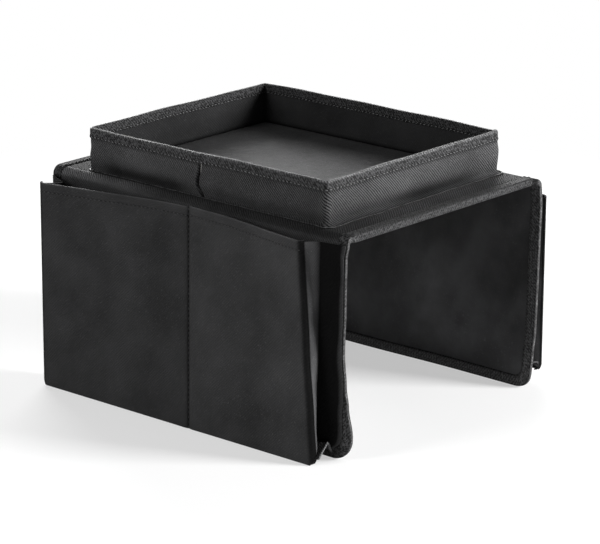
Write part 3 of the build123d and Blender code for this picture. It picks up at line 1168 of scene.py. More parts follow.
class SOFATRAY_OT_saddle_top(Operator):
    """Makes the top's cloth and lining, and the tape over its two open ends"""

    bl_idname = "sofatray.saddle_top"
    bl_label = "Saddle top"

    def execute(self, context):
        self.top_cloth()
        self.underside()
        for end, way in HALVES.items():
            self.end_tape(end, way)
        return {"FINISHED"}

    def flat_grid(self):
        """X and Y of the points of the top's cloth and lining."""
        x = np.linspace(-FOLD_LINE, FOLD_LINE, 64)
        return np.meshgrid(x, np.linspace(-EDGE, EDGE, 90), indexing="ij")

    def add_panel(self, mesh, finish, replaced):
        piece = add_piece(mesh, finish, [replaced], "saddle")

    def top_cloth(self):
        x, y = self.flat_grid()
        inside = smooth_step(FOLD_LINE - np.abs(x), 0, 8 * MM)
        swell = 0.22 * MM * (1 + soft_waves(LEDGE_WAVES, x, y, 70 * MM)) * inside
        top, bottom = joined(x, y, LEDGE_LEVEL + swell), joined(x, y, LEDGE_LEVEL - CLOTH)
        mesh = shell_mesh("ledge_cloth", top, bottom, joined(x, -y))
        # Painted shade towards the front and on the left beside the pockets' mouths; the front's
        # weave also shows more
        front = smooth_step(-y, 90 * MM, 120 * MM)
        beside_sheet = smooth_step(-x, 60 * MM, 100 * MM)
        beside_sheet = beside_sheet * (0.3 + 0.3 * smooth_step(-y, -150 * MM, -110 * MM))
        painted_shade = 0.2 * front + beside_sheet
        set_shade(mesh, grain=[front, front], crease=[painted_shade, painted_shade])
        self.add_panel(mesh, "twill", "saddle_top_cloth")

    def underside(self):
        x, y = self.flat_grid()
        edge_gap = np.minimum(FOLD_LINE - np.abs(x), EDGE - np.abs(y))
        waves = soft_waves(UNDERSIDE_WAVES, x, y, 60 * MM)
        sag = settings().flap.lining_wrinkle * (1 + waves) * smooth_step(edge_gap, 0, 20 * MM)
        bottom, top = joined(x, y, UNDERSIDE - sag), joined(x, y, UNDERSIDE + LINING)
        mesh = shell_mesh("top_lining", bottom, top, joined(y, x))
        self.add_panel(mesh, "lining", "saddle_lining")

    def end_tape(self, end, way):
        x = np.linspace(-FOLD_LINE, FOLD_LINE, 90)
        line = (
            joined(x, way * EDGE, LEDGE_LEVEL),
            joined(x, way * EDGE, UNDERSIDE),
            joined(x * 0, -way, 0),
        )
        sections, uv, shades = tape_sections(*line, END_TAPE_WAVES + way)
        mesh = tube_mesh(f"saddle_{end}_tape", sections, uv)
        set_shade(mesh, crease=shades[..., 0])
        add_piece(mesh, "tape", [f"saddle_{end}_binding"], "saddle")
        for row in tape_rows(*line):
            add_row("ledge_stitches", row, body="saddle")


def tape_profile(width, height, bead):
    """A tape folded over an edge: depth, height, painted shade and painted highlight of each point
    of its section.
    """
    row = width - settings().stitches.edge_inset
    shoulder, groove = 0.7 * MM, 0.25 * MM
    face = [
        (width, 0, 0.9, 0),
        (width - 0.3 * MM, TAPE * 0.8, 0.5, 0),
        (row + shoulder, TAPE, 0, 0),
        (row, TAPE - groove, 0.75, 0),
        (row - shoulder, TAPE, 0, 0),
        (width * 0.35, TAPE + bead, 0, 0),
        (0.9 * MM, TAPE + bead, 0, 0),
        (0.2 * MM, TAPE, 0.2, 0),
        (-TAPE * 0.7, TAPE * 0.45, 0.5, 0.1),
    ]
    corner = TAPE * 0.81
    outer = [(p, height + q, crease, crest) for p, q, crease, crest in face]
    edge = [
        (-TAPE, height - corner, 0.2, 0.5),
        (-TAPE * 1.2, height / 2, 0, 0.8),
        (-TAPE, corner, 0.2, 0.5),
    ]
    inner = [(p, -q, crease, crest) for p, q, crease, crest in reversed(face)]
    return [*outer, *edge, *inner, (0, 0, 0, 0), (0, height, 0, 0)]


# Points of that section: its outer face, and the flat band of its inner one
OUTER_FACE = slice(0, 9)
INNER_BAND = slice(14, 18)


def tape_sections(outer, inner, inward, seed):
    """Sections of a tape folded over an edge, from the edge's line on both faces."""
    stack = np.linalg.norm(outer - inner, axis=1)
    normal = (outer - inner) / stack[:, None]
    run = lengths_along(outer)
    bead = 0.12 * MM * soft_waves(seed, run, run * 0, 9 * MM)
    # How strong the painted highlight is along the tape, unevenly
    painted_highlight = soft_waves(seed + TAPE_HIGHLIGHT_SHIFT, run, run * 0, 7 * MM)
    painted_highlight = np.clip(0.6 + 0.4 * painted_highlight, 0.1, 1)
    sections, shades = [], []
    for k in range(len(outer)):
        profile = tape_profile(TAPE_WIDTH - TAPE, stack[k], bead[k])
        sections.append([inner[k] + inward[k] * p + normal[k] * q for p, q, _, _ in profile])
        shades.append([(crease, crest * painted_highlight[k]) for _, _, crease, crest in profile])
    sections = np.array(sections)
    sections[..., 2] = np.maximum(sections[..., 2], 0)
    around = lengths_along(np.vstack([sections[0], sections[0][:1]]))
    return sections, closed_uv(run, around), np.array(shades)


def tape_rows(outer, inner, inward):
    """A row of stitches near the tape's inner edge, on both faces."""
    normal = (outer - inner) / np.linalg.norm(outer - inner, axis=1)[:, None]
    inset = inward * (TAPE_WIDTH - TAPE - settings().stitches.edge_inset)
    stand = normal * (TAPE + 0.05 * MM)
    return outer + inset + stand, inner + inset - stand


def flap_edge_lines():
    """The line round a flap's sides and bottom, on both faces, with the direction inwards."""
    radius = settings().flap.corner_radius - TAPE
    outer_turn, inner_turn = fold_profile(True).T, fold_profile(False).T
    angles = math.pi / 2 * np.arange(1, 12) / 12
    across, down = np.cos(angles), np.sin(angles)
    y, z = radius - EDGE - radius * across, TAPE + radius - radius * down
    levels = spread(FOLD_LEVEL, TAPE + radius, 4 * MM)[1:]
    # X on both faces, Y, level on both faces, and the direction inwards along Y and Z
    front = np.vstack([
        joined(outer_turn[0], inner_turn[0], -EDGE, outer_turn[1], inner_turn[1], 1, 0),
        joined(FLAP_OUTSIDE, FLAP_INSIDE, -EDGE, levels, levels, 1, 0),
        joined(FLAP_OUTSIDE, FLAP_INSIDE, y, z, z, across, down),
    ])
    y = spread(radius - EDGE, EDGE - radius, 4 * MM)
    bottom = joined(FLAP_OUTSIDE, FLAP_INSIDE, y, TAPE, TAPE, 0, 1)
    rear = front[::-1] * [1, 1, -1, 1, 1, -1, 1]
    line = np.vstack([front, bottom, rear])
    return line[:, [0, 2, 3]], line[:, [1, 2, 4]], joined(0, line[:, 5], line[:, 6])


class SOFATRAY_OT_flaps(Operator):
    """Makes both flaps: cloth over the turn, interlining, lining and the tape round the edge"""

    bl_idname = "sofatray.flaps"
    bl_label = "Flaps"

    def execute(self, context):
        for side in SIDES:
            self.cloth(side)
            self.interlining(side)
            self.lining(side)
            self.tape(side)
        return {"FINISHED"}

    def declare_sheet(self, piece, down):
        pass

    def cloth(self, side):
        grid = flap_grid(True, FLAP_OUTSIDE)
        back = shifted(grid, -CLOTH)
        mesh = hung_mesh(side, "flap_outer_cloth", grid, back, panel_uv(grid))
        # Painted shade over the front of the turn at the fold, and a painted highlight over its
        # rear
        turn = 0.5 * smooth_step(grid[..., 2], FOLD_LEVEL, FOLD_LEVEL + 4 * MM)
        rear = smooth_step(grid[..., 1], 20 * MM, 150 * MM)
        shell_shade(mesh, 1.3 * turn * (1 - rear), 0, turn * rear)
        replaced = [side + "_fold", side + "_flap_cloth"]
        piece = add_piece(mesh, "twill", replaced, bend=side_bend(side))
        self.declare_sheet(piece, FOLD_LEVEL + 12 * MM)

    def interlining(self, side):
        inset = TAPE + 2 * MM
        y = spread(inset - HALF_LENGTH, HALF_LENGTH - inset, 6 * MM)
        shares = np.linspace(0, 1, 30)[:, None]
        z = FOLD_LEVEL + (flap_foot(y, inset) - FOLD_LEVEL) * shares
        face, back = joined(FLAP_OUTSIDE - CLOTH, y, z), joined(FLAP_INSIDE + LINING, y, z)
        mesh = hung_mesh(side, "flap_felt", face, back, face[..., 1:])
        piece = add_piece(mesh, "felt", [side + "_flap_interlining"], side + "_flap")
        self.declare_sheet(piece, FOLD_LEVEL)

    def lining(self, side):
        grid = flap_grid(False, FLAP_INSIDE)
        y, z = grid[..., 1], grid[..., 2]
        edge_gap = np.minimum(z - flap_foot(y, TAPE), FOLD_LEVEL - z)
        edge_gap = np.minimum(EDGE - np.abs(y), edge_gap)
        inside = smooth_step(edge_gap, TAPE_WIDTH * 0.8, 2.5 * TAPE_WIDTH)
        broad = soft_waves(LINING_WAVES + SIDES[side], y * 0.7, z, 75 * MM)
        fine = soft_waves(LINING_RIPPLES + SIDES[side], y + z * 0.4, z * 0.3, 22 * MM)
        swell = settings().flap.lining_wrinkle * (1.2 + broad + 0.35 * fine) * inside
        face = grid.copy()
        face[..., 0] -= np.maximum(swell, 0)
        back = shifted(grid, LINING)
        mesh = hung_mesh(side, "flap_inner_lining", face, back, panel_uv(grid))
        light = 0.05 + 0.12 * broad + 0.05 * fine
        light = light + 0.12 * smooth_step(y, -0.7 * HALF_LENGTH, HALF_LENGTH)
        light = light + 0.4 * smooth_step(FOLD_LEVEL - z, 60 * MM, 190 * MM)
        shell_shade(mesh, np.zeros(y.shape), 0.0, np.maximum(light, 0))
        replaced = [side + "_lining_fold", side + "_flap_lining"]
        piece = add_piece(mesh, "lining", replaced, bend=side_bend(side))
        self.declare_sheet(piece, FOLD_LEVEL + 6 * MM)

    def tape(self, side):
        line = flap_edge_lines()
        sections, uv, shades = tape_sections(*line, FLAP_TAPE_WAVES + SIDES[side])
        mesh = tube_mesh(side + "_flap_tape", hang_flap(side, sections), uv)
        level = line[0][:, 2:]
        # Painted shadow of the pockets on the tape's outer face below their mouths, and a painted
        # highlight on the flat band of its inner face, stronger low down
        painted_pocket_shadow = smooth_step(level, 20 * MM, 90 * MM)
        painted_pocket_shadow = painted_pocket_shadow * smooth_step(MOUTH_LEVEL - level, -3 * MM, 3 * MM)
        shades[:, OUTER_FACE, 0] = np.maximum(shades[:, OUTER_FACE, 0], painted_pocket_shadow)
        shades[:, INNER_BAND, 1] += mix(0.35, 0.2, smooth_step(level, 10 * MM, 50 * MM))
        set_shade(mesh, crease=shades[..., 0], crest=shades[..., 1])
        bend = side_bend(side)
        add_piece(mesh, "tape", [side + "_flap_binding"], bend=bend)
        for row in tape_rows(*line):
            add_row(f"side_{side}_stitches", hang_flap(side, row), bend=bend)


# Pockets, drawn on the +X side
@functools.cache
def pocket_corners(side, half):
    """The four corners of a sheet's outer face, read from its solid and drawn on the +X side."""
    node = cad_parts[f"{side}_{half}_pocket_sheet"]
    points = np.array([v.co[:] for v in node.data.vertices])
    points[:, 0] *= SIDES[side]
    corners = {}
    for place, sign in (("seam", -1), ("end", 1)):
        for level, up in (("foot", -1), ("top", 1)):
            score = points @ (0.5, 10 * sign * HALVES[half], 10 * up)
            corners[f"{place}_{level}"] = points[np.argmax(score)]
    return corners


def seam_ends():
    """Foot and mouth of the centre seam, half-way between the two sheets that meet at it."""
    front, rear = pocket_corners("left", "front"), pocket_corners("left", "rear")
    return [(front[end] + rear[end]) / 2 for end in ("seam_foot", "seam_top")]


def sheet_width(side, half):
    """From the seam's foot to the sheet's end, along Y."""
    return abs(pocket_corners(side, half)["end_foot"][1] - seam_ends()[0][1])


def sheet_length(side, half):
    """From the flap's middle to the sheet's end, along Y."""
    return abs(pocket_corners(side, half)["end_foot"][1])


def sheet_point(side, half, along, rise):
    """A point of a pocket sheet's outer face; along and rise are shares of its width and height."""
    shape = settings().pocket
    corners = pocket_corners(side, half)
    way = HALVES[half]
    seeds = way * 3 + SIDES[side]
    along, rise = np.broadcast_arrays(np.asarray(along, float), np.asarray(rise, float))
    seam_foot, seam_mouth = seam_ends()
    seam = [mix(seam_foot[k], seam_mouth[k], rise) for k in range(3)]
    end = [mix(corners["end_foot"][k], corners["end_top"][k], rise) for k in range(3)]
    x, y, z = (mix(seam[k], end[k], along) for k in range(3))
    length = np.abs(end[1] - seam[1])
    distance, from_end = along * length, (1 - along) * length
    height = z - mix(0, corners["end_foot"][2], along)
    from_mouth = MOUTH_LEVEL * (1 - rise)
    depth = shape.rear_mouth_bow if half == "rear" else shape.front_mouth_bow
    bow = depth * np.sin(math.pi * along**0.75) * smooth_step(rise, 0.25, 1.0)
    wave = soft_waves(SHEET_WAVES + seeds, y, z, 120 * MM)
    ripple = soft_waves(SHEET_RIPPLES + seeds, y * 1.4, z * 0.6, 38 * MM)
    held = smooth_step(distance, 0, 30 * MM) * smooth_step(from_end, 0, 20 * MM)
    held = held * smooth_step(height, 0, 22 * MM)
    swell = shape.sheet_wave * (0.8 * wave + 0.22 * ripple) * held
    pinch = shape.seam_pinch * fading(distance, 1.6 * MM)
    puff = 0.5 * MM * (fading(distance, 9 * MM) - fading(distance, 2.5 * MM))
    hem_step = 0.18 * MM * ridge(from_mouth - shape.hem_depth * 0.85, 0.9 * MM)
    x = x - bow + swell - pinch + puff - hem_step
    x = x - round_off(from_end, shape.edge_roll) - round_off(height, 1.6 * MM)
    mouth = soft_waves(MOUTH_WAVES + way + SIDES[side], distance, distance * 0, 130 * MM)
    lift = (1.4 * MM if half == "front" else 0.0) * (1 - smooth_step(along, 0.2, 0.9))
    z = z + (shape.mouth_wave * mouth + lift) * smooth_step(rise, 0.7, 1.0)
    if (side, half) == ("left", "front"):
        drawn_back = eased_curve(rise, [0, 0.2, 0.5, 1], [0.5, 2.0, 4.5, 7.2]) * MM
        y = y - way * drawn_back * smooth_step(along, 0.7, 1.0)
    y = y - way * round_off(height, 6.5 * MM) * smooth_step(along, 0.97, 1.0)
    return joined(x, y, z)


def row_drop():
    """How far under a mouth the hem's row of stitches runs."""
    return settings().pocket.hem_depth - settings().stitches.edge_inset


def sheet_shares(side, half):
    """Shares of a sheet's width and height at its points, close together at edges and row."""
    length = sheet_width(side, half)
    along = spread(0, length, 3.6 * MM, True, True, 0.7 * MM) / length
    rise = spread(0, MOUTH_LEVEL, 3.6 * MM, True, True, 0.6 * MM) / MOUTH_LEVEL
    near_row = 1 - (row_drop() + np.arange(-3, 4) * 0.5 * MM) / MOUTH_LEVEL
    rise = np.unique(np.round(np.concatenate([rise, near_row]), 6))
    return np.meshgrid(along, rise, indexing="ij")


def sheet_crease(side, half, along, rise):
    """Painted shade in the seam, along the hem's row, on the rolled end and at the foot of a sheet,
    and a little over the whole of a rear sheet.
    """
    roll = settings().pocket.edge_roll
    length = sheet_length(side, half)
    row = 0.45 * ridge((1 - rise) * MOUTH_LEVEL - row_drop(), 0.55 * MM)
    seam = fading(along * length, 1.1 * MM)
    rolled = smooth_step(roll * 1.2 - (1 - along) * length, 0, roll)
    foot = 0.5 * fading(rise * MOUTH_LEVEL, 0.8 * MM)
    painted_shade = 0.2 if half == "rear" else 0.0
    return np.clip(row + seam + rolled + foot + painted_shade, 0, 1)


def to_side(side, points):
    """Points drawn on the +X side, on the side where they belong."""
    return points * (SIDES[side], 1, 1)


def sided_mesh(side, name, outer, inner, uv):
    """A shell drawn on the +X side, on the side where it belongs."""
    return shell_mesh(f"{side}_{name}", to_side(side, outer), to_side(side, inner), uv)


class SOFATRAY_OT_pockets(Operator):
    """Makes the four pocket sheets, their mouth hems and the dividers at the seams"""

    bl_idname = "sofatray.pockets"
    bl_label = "Pockets"

    def execute(self, context):
        for side in SIDES:
            for half in HALVES:
                self.sheet(side, half)
                self.hem(side, half)
                self.rows(side, half)
            self.divider(side)
        return {"FINISHED"}

    def sheet(self, side, half):
        along, rise = sheet_shares(side, half)
        face = sheet_point(side, half, along, rise)
        back = shifted(face, -settings().pocket.sheet_thickness)
        back[..., 2] = np.maximum(back[..., 2], 0)
        mesh = sided_mesh(side, half + "_sheet", face, back, face[..., 1:])
        # Painted highlight along the mouth's edge, painted shade from sheet_crease on the face and
        # a little on the back
        mouth = 0.35 * fading((1 - rise) * MOUTH_LEVEL, 0.7 * MM)
        shell_shade(mesh, sheet_crease(side, half, along, rise), 0.2, mouth)
        replaced = [f"{side}_{half}_pocket_sheet"]
        piece = add_piece(mesh, "calm_twill", replaced, bend=sheet_bend(side, half))
        size = (sheet_width(side, half), MOUTH_LEVEL)

    def hem(self, side, half):
        shape = settings().pocket
        length = sheet_width(side, half)
        along, drop = np.meshgrid(
            spread(1.5 * MM, length - 3 * MM, 4 * MM) / length,
            np.linspace(0, shape.hem_depth, 6),
            indexing="ij",
        )
        face = sheet_point(side, half, along, 1 - drop / MOUTH_LEVEL)
        outside = shifted(face, -shape.sheet_thickness - 0.05 * MM)
        inside = shifted(face, -shape.sheet_thickness - CLOTH)
        mesh = sided_mesh(side, half + "_hem", outside, inside, face[..., 1:])
        add_piece(mesh, "twill", [f"{side}_{half}_mouth_hem"], bend=sheet_bend(side, half))

    def rows(self, side, half):
        level = 1 - row_drop() / MOUTH_LEVEL
        line = sheet_point(side, half, np.linspace(0.02, 0.98, 60), level)
        line[:, 0] += 0.1 * MM
        name, bend = f"sheet_{side}_{half}_stitches", sheet_bend(side, half)
        add_row(name, to_side(side, line), bend=bend)
        if half == "front":
            seam = sheet_point(side, half, 0.006, np.linspace(0.012, 0.985, 80))
            seam[:, 0] += 0.25 * MM
            add_row(side + "_flap_stitches", to_side(side, seam), body=side + "_flap")

    def divider(self, side):
        rise = np.linspace(0.01, 0.985, 50)
        seam = sheet_point(side, "front", 0.002, rise)
        steps = np.linspace(0, 1, 10)[:, None]
        start = FLAP_OUTSIDE + TAPE
        reach = np.maximum(seam[:, 0] - settings().pocket.sheet_thickness, start + 0.3 * MM) - start
        waves = soft_waves(DIVIDER_WAVES, rise * MOUTH_LEVEL, rise * 0, 60 * MM)
        ripple = 0.5 * MM * np.sin(steps * math.pi) * waves
        x, y = start + reach * steps, seam[:, 1] - CLOTH / 2 + ripple
        face = joined(x, y, seam[:, 2])
        back = face + (0, CLOTH, 0)
        mesh = sided_mesh(side, "divider_web", face, back, joined(x, seam[:, 2]))
        piece = add_piece(mesh, "twill", [side + "_pocket_divider"], side + "_flap")
        depth = seam_ends()[0][0] - start
        area = 0.55 * depth * MOUTH_LEVEL


# Bellows
def flap_edge_reach(side, half, level, inset):
    """How far along Y a line set in from a flap's end edge and rounded corner lies at a level."""
    way = HALVES[half]
    corner = round_off(level - inset, settings().flap.corner_radius - inset)
    shift = way * edge_shift(side, np.array(way * HALF_LENGTH), np.asarray(level, float))
    return HALF_LENGTH - inset - corner + shift


def bellows_line(side, half, level):
    """The folded strip at a pocket's end at one level: flap edge, fold and sheet, as points."""
    rise = level / MOUTH_LEVEL
    inset = mix(BELLOWS_FOOT_INSET, BELLOWS_EDGE_INSET, smooth_step(level, 12 * MM, 75 * MM))
    start = np.array([BELLOWS_START_X, flap_edge_reach(side, half, level, inset), level])
    x, y, z = sheet_point(side, half, 1 - 0.4 * MM / sheet_length(side, half), rise)
    end = np.array([x - settings().pocket.seam_flange, abs(y) - 0.3 * MM, z])
    fold = mix(start, end, mix(0.5, 0.24 if half == "front" else 0.5, rise))
    fold[1] = HALF_LENGTH - BELLOWS_FOLD_INSET
    steps = np.linspace(0, 1, BELLOWS_COLUMNS // 2 + 1)[:, None]
    points = np.vstack([mix(start, fold, steps), mix(fold, end, steps[1:])])
    points[1:-1] = (points[:-2] + 2 * points[1:-1] + points[2:]) / 4
    return points


def base_ridge(across):
    """Height of the upward fold under a pocket, at shares of the way from flap to sheet."""
    return BASE_RISE * (1 - np.abs(2 * across - 1)) ** 0.9


class SOFATRAY_OT_bellows(Operator):
    """Makes the folded bellows at the pockets' ends and under them"""

    bl_idname = "sofatray.bellows"
    bl_label = "Bellows"

    def execute(self, context):
        for side in SIDES:
            for half in HALVES:
                self.end_bellows(side, half)
                self.base_bellows(side, half)
        return {"FINISHED"}

    def add_bellows(self, side, half, mesh, finish, replaced, size):
        bend = bellows_bend(side, half)
        piece = add_piece(mesh, finish, [f"{side}_{half}_{replaced}"], bend=bend)

    def end_bellows(self, side, half):
        way = HALVES[half]
        across = np.linspace(0, 1, BELLOWS_COLUMNS)
        low_levels = base_ridge(across) + 2.5 * MM
        top = MOUTH_LEVEL - 1.5 * MM
        shares = spread(0, 1, 1 / 46, True, True, 0.004)
        grid = np.zeros((len(shares), len(across), 3))
        for i, share in enumerate(shares):
            for j, low_level in enumerate(low_levels):
                grid[i, j] = bellows_line(side, half, mix(low_level, top, share))[j]
        grid[..., 1] *= way
        waves = soft_waves(END_BELLOWS_WAVES + way, grid[..., 2], grid[..., 0], 70 * MM)
        grid[..., 1] += 1.4 * MM * np.sin(across * math.tau) * waves
        face = shifted(grid, CLOTH, 1, way)
        uv = joined(across * BELLOWS_STRIP, grid[..., 2])
        mesh = sided_mesh(side, half + "_end_bellows", face, grid, uv)
        # Painted shade over the inner leg and at the seam and a little on the back, and a painted
        # highlight on the outer leg of the left side's bellows
        inner_leg = smooth_step(across, 0.02, 0.1) * (1 - smooth_step(across, 0.5, 0.58))
        at_seam = smooth_step(across, 0.94, 1.0)
        crease = np.maximum(1.05 * inner_leg, at_seam)
        lit = (0.35 if side == "left" else 0) * smooth_step(across, 0.55, 0.7) * (1 - at_seam)
        crease, lit = (np.broadcast_to(shade, grid.shape[:2]) for shade in (crease, lit))
        shell_shade(mesh, crease, 0.3, lit)
        width = FRONT_END_STRIP if half == "front" else BELLOWS_STRIP
        self.add_bellows(side, half, mesh, "calm_twill", "gusset", (width, MOUTH_LEVEL))

    def base_bellows(self, side, half):
        way = HALVES[half]
        end_x, end_y, lift = pocket_corners(side, half)["end_foot"]
        end_y = abs(end_y) - 0.5 * MM
        seam_y = seam_ends()[0][1] * way + 1.2 * MM
        shares = np.linspace(0, 1, 17)
        steps = spread(0, 1, 1 / 48, False, True, 0.004)[:, None]

        def near_end(reach):
            return smooth_step(steps, 1 - reach / end_y, 1)

        flap_end = flap_edge_reach(side, half, 4 * MM, BELLOWS_FOOT_INSET * 0.45)
        past, short, painted_highlight = (6.5 * MM, 2.5 * MM, 0.7) if side == "left" else (0, -1.0 * MM, 0.1)
        ends = mix(min(flap_end, end_y + past), end_y + short, smooth_step(shares, 0, 0.6))
        reach = end_x - 1.6 * MM - BELLOWS_START_X - 5 * MM * near_end(9 * MM)
        x = BELLOWS_START_X + reach * shares
        y = way * (seam_y + (ends - seam_y) * steps)
        raised = near_end(22 * MM)
        z = 0.9 * MM + base_ridge(shares) * (1 - 0.18 * raised)
        z = z + mix(3.0 * MM, 5.0 * MM, shares) * raised
        z = z + lift * steps * smooth_step(shares, 0.3, 1)
        waves = soft_waves(BASE_BELLOWS_WAVES + way, y, x, 50 * MM)
        grid = joined(x, y, z + 0.8 * MM * waves * np.sin(shares * math.pi))
        hem = np.broadcast_to(near_end(2.5 * MM), z.shape)
        top = shifted(grid, (CLOTH * (1 + 1.2 * hem))[..., None], 2)
        uv = joined(y, shares * BELLOWS_STRIP)
        mesh = sided_mesh(side, half + "_base_bellows", top, grid, uv)
        # Painted shade under the pocket and on the back away from the hem, and a painted highlight
        # on the hem, strong on the left and faint on the right
        shell_shade(mesh, 0.6 * (1 - hem), 0.8 * (1 - hem), painted_highlight * hem)
        self.add_bellows(side, half, mesh, "twill", "base_gusset", (BELLOWS_STRIP, end_y))


# Stitching
def stitch_tree():
    """Lays stitches along lines of edges."""
    tree = bpy.data.node_groups.new("stitch_row", "GeometryNodeTree")
    kinds = {
        "Geometry": "Geometry",
        "Stitch length": "Float",
        "Stitch pitch": "Float",
        "Thread radius": "Float",
        "Slant": "Float",
        "Seed": "Int",
        "Thread": "Material",
    }
    for label, kind in kinds.items():
        tree.interface.new_socket(label, in_out="INPUT", socket_type="NodeSocket" + kind)
    tree.interface.new_socket("Geometry", in_out="OUTPUT", socket_type="NodeSocketGeometry")
    rows = Network(tree)
    given = rows.node("NodeGroupInput").outputs

    def made(kind, setup=None, **inputs):
        """The first output of a new node."""
        return rows.node(kind, setup, **inputs).outputs[0]

    curve = made("GeometryNodeMeshToCurve", Mesh=given["Geometry"])
    spaced = made(
        "GeometryNodeResampleCurve",
        {"mode": "LENGTH"},
        Curve=curve,
        Length=given["Stitch pitch"],
    )
    tangent = made("GeometryNodeInputTangent")
    along = made("FunctionNodeAlignRotationToVector", {"axis": "X"}, Vector=tangent)
    bead = made("GeometryNodeMeshUVSphere", Segments=6, Rings=5, Radius=1.0)
    lying = made("FunctionNodeEulerToRotation", Euler=(0, math.pi / 2, 0))
    bead = made("GeometryNodeTransform", Geometry=bead, Rotation=lying)
    half_length, radius = Signal(rows, given["Stitch length"]) * 0.5, given["Thread radius"]
    size = made("ShaderNodeCombineXYZ", X=half_length, Y=radius, Z=radius)
    stitch = made("GeometryNodeTransform", Geometry=bead, Scale=size)
    wander = rows.node("FunctionNodeRandomValue", Seed=given["Seed"])
    least, most = wander.inputs[2:4]
    rows.feed(least, 0.4)
    rows.feed(most, 1.6)
    slant = Signal(rows, given["Slant"]) * wander.outputs[1]
    slanted = made("FunctionNodeEulerToRotation", Euler=made("ShaderNodeCombineXYZ", Y=slant))
    turned = made(
        "FunctionNodeRotateRotation",
        {"rotation_space": "LOCAL"},
        Rotation=along,
        Rotate_By=slanted,
    )
    placed = made(
        "GeometryNodeInstanceOnPoints", Points=spaced, Instance=stitch, Rotation=turned
    )
    realized = made("GeometryNodeRealizeInstances", Geometry=placed)
    smooth = made("GeometryNodeSetShadeSmooth", Geometry=realized)
    painted = made("GeometryNodeSetMaterial", Geometry=smooth, Material=given["Thread"])
    rows.node("NodeGroupOutput", Geometry=painted)
    return tree


def line_mesh(name, rows):
    """A mesh of edges along rows of points."""
    points, edges = [], []
    for line, closed in rows:
        first = len(points)
        points += line.tolist()
        edges += [(first + k, first + k + 1) for k in range(len(line) - 1)]
        if closed:
            edges.append((first + len(line) - 1, first))
    mesh = bpy.data.meshes.new(name)
    mesh.from_pydata(points, edges, [])
    return mesh


class SOFATRAY_OT_stitching(Operator):
    """Sews the rows that the other pieces asked for"""

    bl_idname = "sofatray.stitching"
    bl_label = "Stitching"

    def execute(self, context):
        tree = stitch_tree()
        sizes = settings().stitches
        values = {
            "Stitch length": sizes.length,
            "Stitch pitch": sizes.pitch,
            "Thread radius": sizes.radius,
            "Seed": settings().seed,
        }
        for name, asked in stitch_rows.items():
            on_rim = name == "saddle_stitches"
            # The rim's rows take the thread's lighter copy, a painted highlight; the others its
            # darker copy, painted shade
            values["Thread"] = materials["thread" if on_rim else "dark_thread"]
            values["Slant"] = sizes.slant if on_rim else 0.0
            mesh = self.sewn(context, tree, values, line_mesh(name, asked["rows"]))
            attach(link_object(name, mesh), asked["body"], asked["bend"])
        return {"FINISHED"}

    def sewn(self, context, tree, values, lines):
        carrier = link_object("stitch_lines", lines)
        modifier = carrier.modifiers.new("stitches", "NODES")
        modifier.node_group = tree
        for item in tree.interface.items_tree:
            if item.item_type == "SOCKET" and item.in_out == "INPUT" and item.name in values:
                modifier[item.identifier] = values[item.name]
        graph = context.evaluated_depsgraph_get()
        mesh = bpy.data.meshes.new_from_object(carrier.evaluated_get(graph), depsgraph=graph)
        bpy.data.objects.remove(carrier)
        return mesh


class SOFATRAY_OT_hidden_boards(Operator):
    """Finishes the stiff boards that stay inside the cloth"""

    bl_idname = "sofatray.hidden_boards"
    bl_label = "Hidden boards"

    def execute(self, context):
        for name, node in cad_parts.items():
            if "board" in name:
                node.data.materials.clear()
                node.data.materials.append(materials["board"])
        return {"FINISHED"}


# Stage
WHITE = (1, 1, 1, 1)
FLOOR_REACH = 6.0
# Place and size of each lamp; all of them face the tray's middle
LAMPS = {
    "right": ((1.3, -2.4, 0.85), (0.9, 1.3)),
    "left": ((-2.4, 0.7, 1.0), (0.9, 1.8)),
    "top": ((0.3, 0.9, 2.6), (1.6, 1.2)),
    "back": ((2.0, 2.3, 1.25), (2.4, 1.2)),
}


def floor_material():
    """A pale floor that camera and reflections see ever whiter away from the tray."""
    surface = Surface("pale_floor")
    tone = surface.colours(surface.grain(3.0, 2.0), (0.93, 0.93, 0.93), (0.95, 0.95, 0.95))
    surface.finish(tone, Roughness=0.9, Specular_IOR_Level=0.1)
    glow = surface.node("ShaderNodeEmission", Color=WHITE)
    setup = {"operation": "LENGTH"}
    distance = surface.node("ShaderNodeVectorMath", setup, Vector=surface.place).outputs["Value"]
    setup = {"interpolation_type": "SMOOTHSTEP"}
    fade = surface.node(
        "ShaderNodeMapRange", setup, Value=distance, From_Min=0.45, From_Max=0.95
    )
    seen = surface.rays("Is Camera Ray", "Is Glossy Ray", "Is Transmission Ray")
    far = seen * Signal(surface, fade.outputs["Result"]).at_least(0.5)
    surface.mix_shaders(far, surface.shader, glow, surface.tree.nodes["Material Output"])
    return surface.material


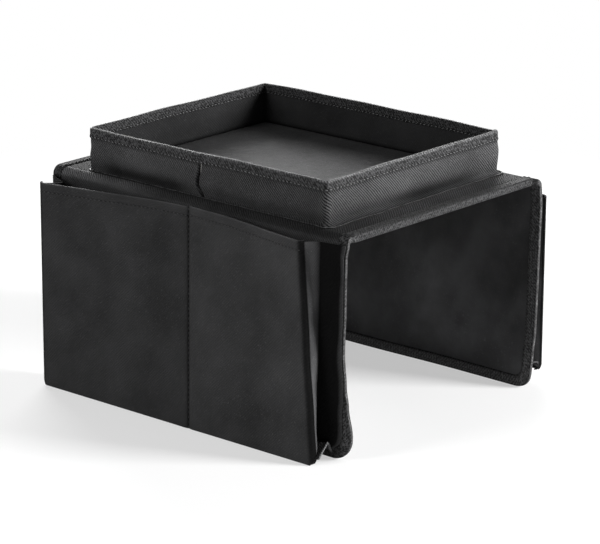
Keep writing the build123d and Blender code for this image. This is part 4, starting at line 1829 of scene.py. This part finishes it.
class SOFATRAY_OT_stage(Operator):
    """Sets the camera, the lights, the floor and the white surround"""

    bl_idname = "sofatray.stage"
    bl_label = "Stage"

    def execute(self, context):
        look = settings().stage
        context.scene.view_settings.view_transform = "Standard"
        self.floor()
        self.camera(context, look)
        self.surround(context, look)
        for name, (place, size) in LAMPS.items():
            self.lamp(name + "_light", place, size, getattr(look, name + "_power"))
        return {"FINISHED"}

    def floor(self):
        mesh = bpy.data.meshes.new("studio_floor")
        reach = FLOOR_REACH
        corners = [(-reach, -reach, 0), (reach, -reach, 0), (reach, reach, 0), (-reach, reach, 0)]
        mesh.from_pydata(corners, [], [(0, 1, 2, 3)])
        mesh.materials.append(floor_material())
        link_object("studio_floor", mesh)

    def camera(self, context, look):
        data = bpy.data.cameras.new("camera")
        data.lens = look.lens
        data.sensor_width = 36
        data.clip_end = 50
        camera = link_object("camera", data)
        turn, tilt = look.camera_turn, look.camera_tilt
        level = math.cos(tilt)
        back = Vector((math.sin(turn) * level, -math.cos(turn) * level, math.sin(tilt)))
        camera.location = look.camera_place
        camera.rotation_mode = "QUATERNION"
        camera.rotation_quaternion = (-back).to_track_quat("-Z", "Y")
        context.scene.camera = camera

    def surround(self, context, look):
        """White to the camera, and an even light of its own strength to all else."""
        world = bpy.data.worlds.new("surround")
        context.scene.world = world
        world.use_nodes = True
        world.node_tree.nodes.clear()
        sky = Network(world.node_tree)
        light = sky.node("ShaderNodeBackground", Color=WHITE, Strength=look.surround)
        seen = sky.node("ShaderNodeBackground", Color=WHITE)
        shown = sky.rays("Is Camera Ray", "Is Transmission Ray")
        sky.mix_shaders(shown, light, seen, sky.node("ShaderNodeOutputWorld"))

    def lamp(self, name, place, size, power):
        data = bpy.data.lights.new(name, "AREA")
        data.shape = "RECTANGLE"
        data.size, data.size_y = size
        data.energy = power
        lamp = link_object(name, data)
        lamp.location = place
        middle = Vector((0, 0, 0.5 * RIM_LEVEL))
        lamp.rotation_euler = (Vector(place) - middle).to_track_quat("Z", "Y").to_euler()


class SOFATRAY_PT_panel(Panel):
    """Lists the pieces of the sofa arm tray"""

    bl_label = "Sofa arm tray"
    bl_idname = "SOFATRAY_PT_panel"
    bl_space_type = "VIEW_3D"
    bl_region_type = "UI"
    bl_category = "Sofa tray"

    def draw(self, context):
        layout = self.layout
        for group in ("colours", "stitches", "tray", "flap", "pocket", "stage"):
            box = layout.box()
            box.label(text=group.capitalize())
            values = getattr(settings(), group)
            for label in values.__annotations__:
                box.prop(values, label)
        for operator in OPERATORS:
            layout.operator(operator.bl_idname)


GROUPS = (
    ClothColours,
    StitchSizes,
    TrayShape,
    FlapShape,
    PocketShape,
    StageLook,
    SofaTraySettings,
)
OPERATORS = (
    SOFATRAY_OT_tray_wall,
    SOFATRAY_OT_floor_insert,
    SOFATRAY_OT_saddle_top,
    SOFATRAY_OT_flaps,
    SOFATRAY_OT_pockets,
    SOFATRAY_OT_bellows,
    SOFATRAY_OT_stitching,
    SOFATRAY_OT_hidden_boards,
    SOFATRAY_OT_stage,
)


def register():
    for item in (*GROUPS, *OPERATORS, SOFATRAY_PT_panel):
        bpy.utils.register_class(item)
    bpy.types.Scene.sofa_tray = PointerProperty(type=SofaTraySettings)


def unregister():
    del bpy.types.Scene.sofa_tray
    for item in reversed((*GROUPS, *OPERATORS, SOFATRAY_PT_panel)):
        bpy.utils.unregister_class(item)


def main():
    register()
    make_materials()
    for operator in OPERATORS:
        family, action = operator.bl_idname.split(".")
        getattr(getattr(bpy.ops, family), action)()


if __name__ == "__main__":
    main()
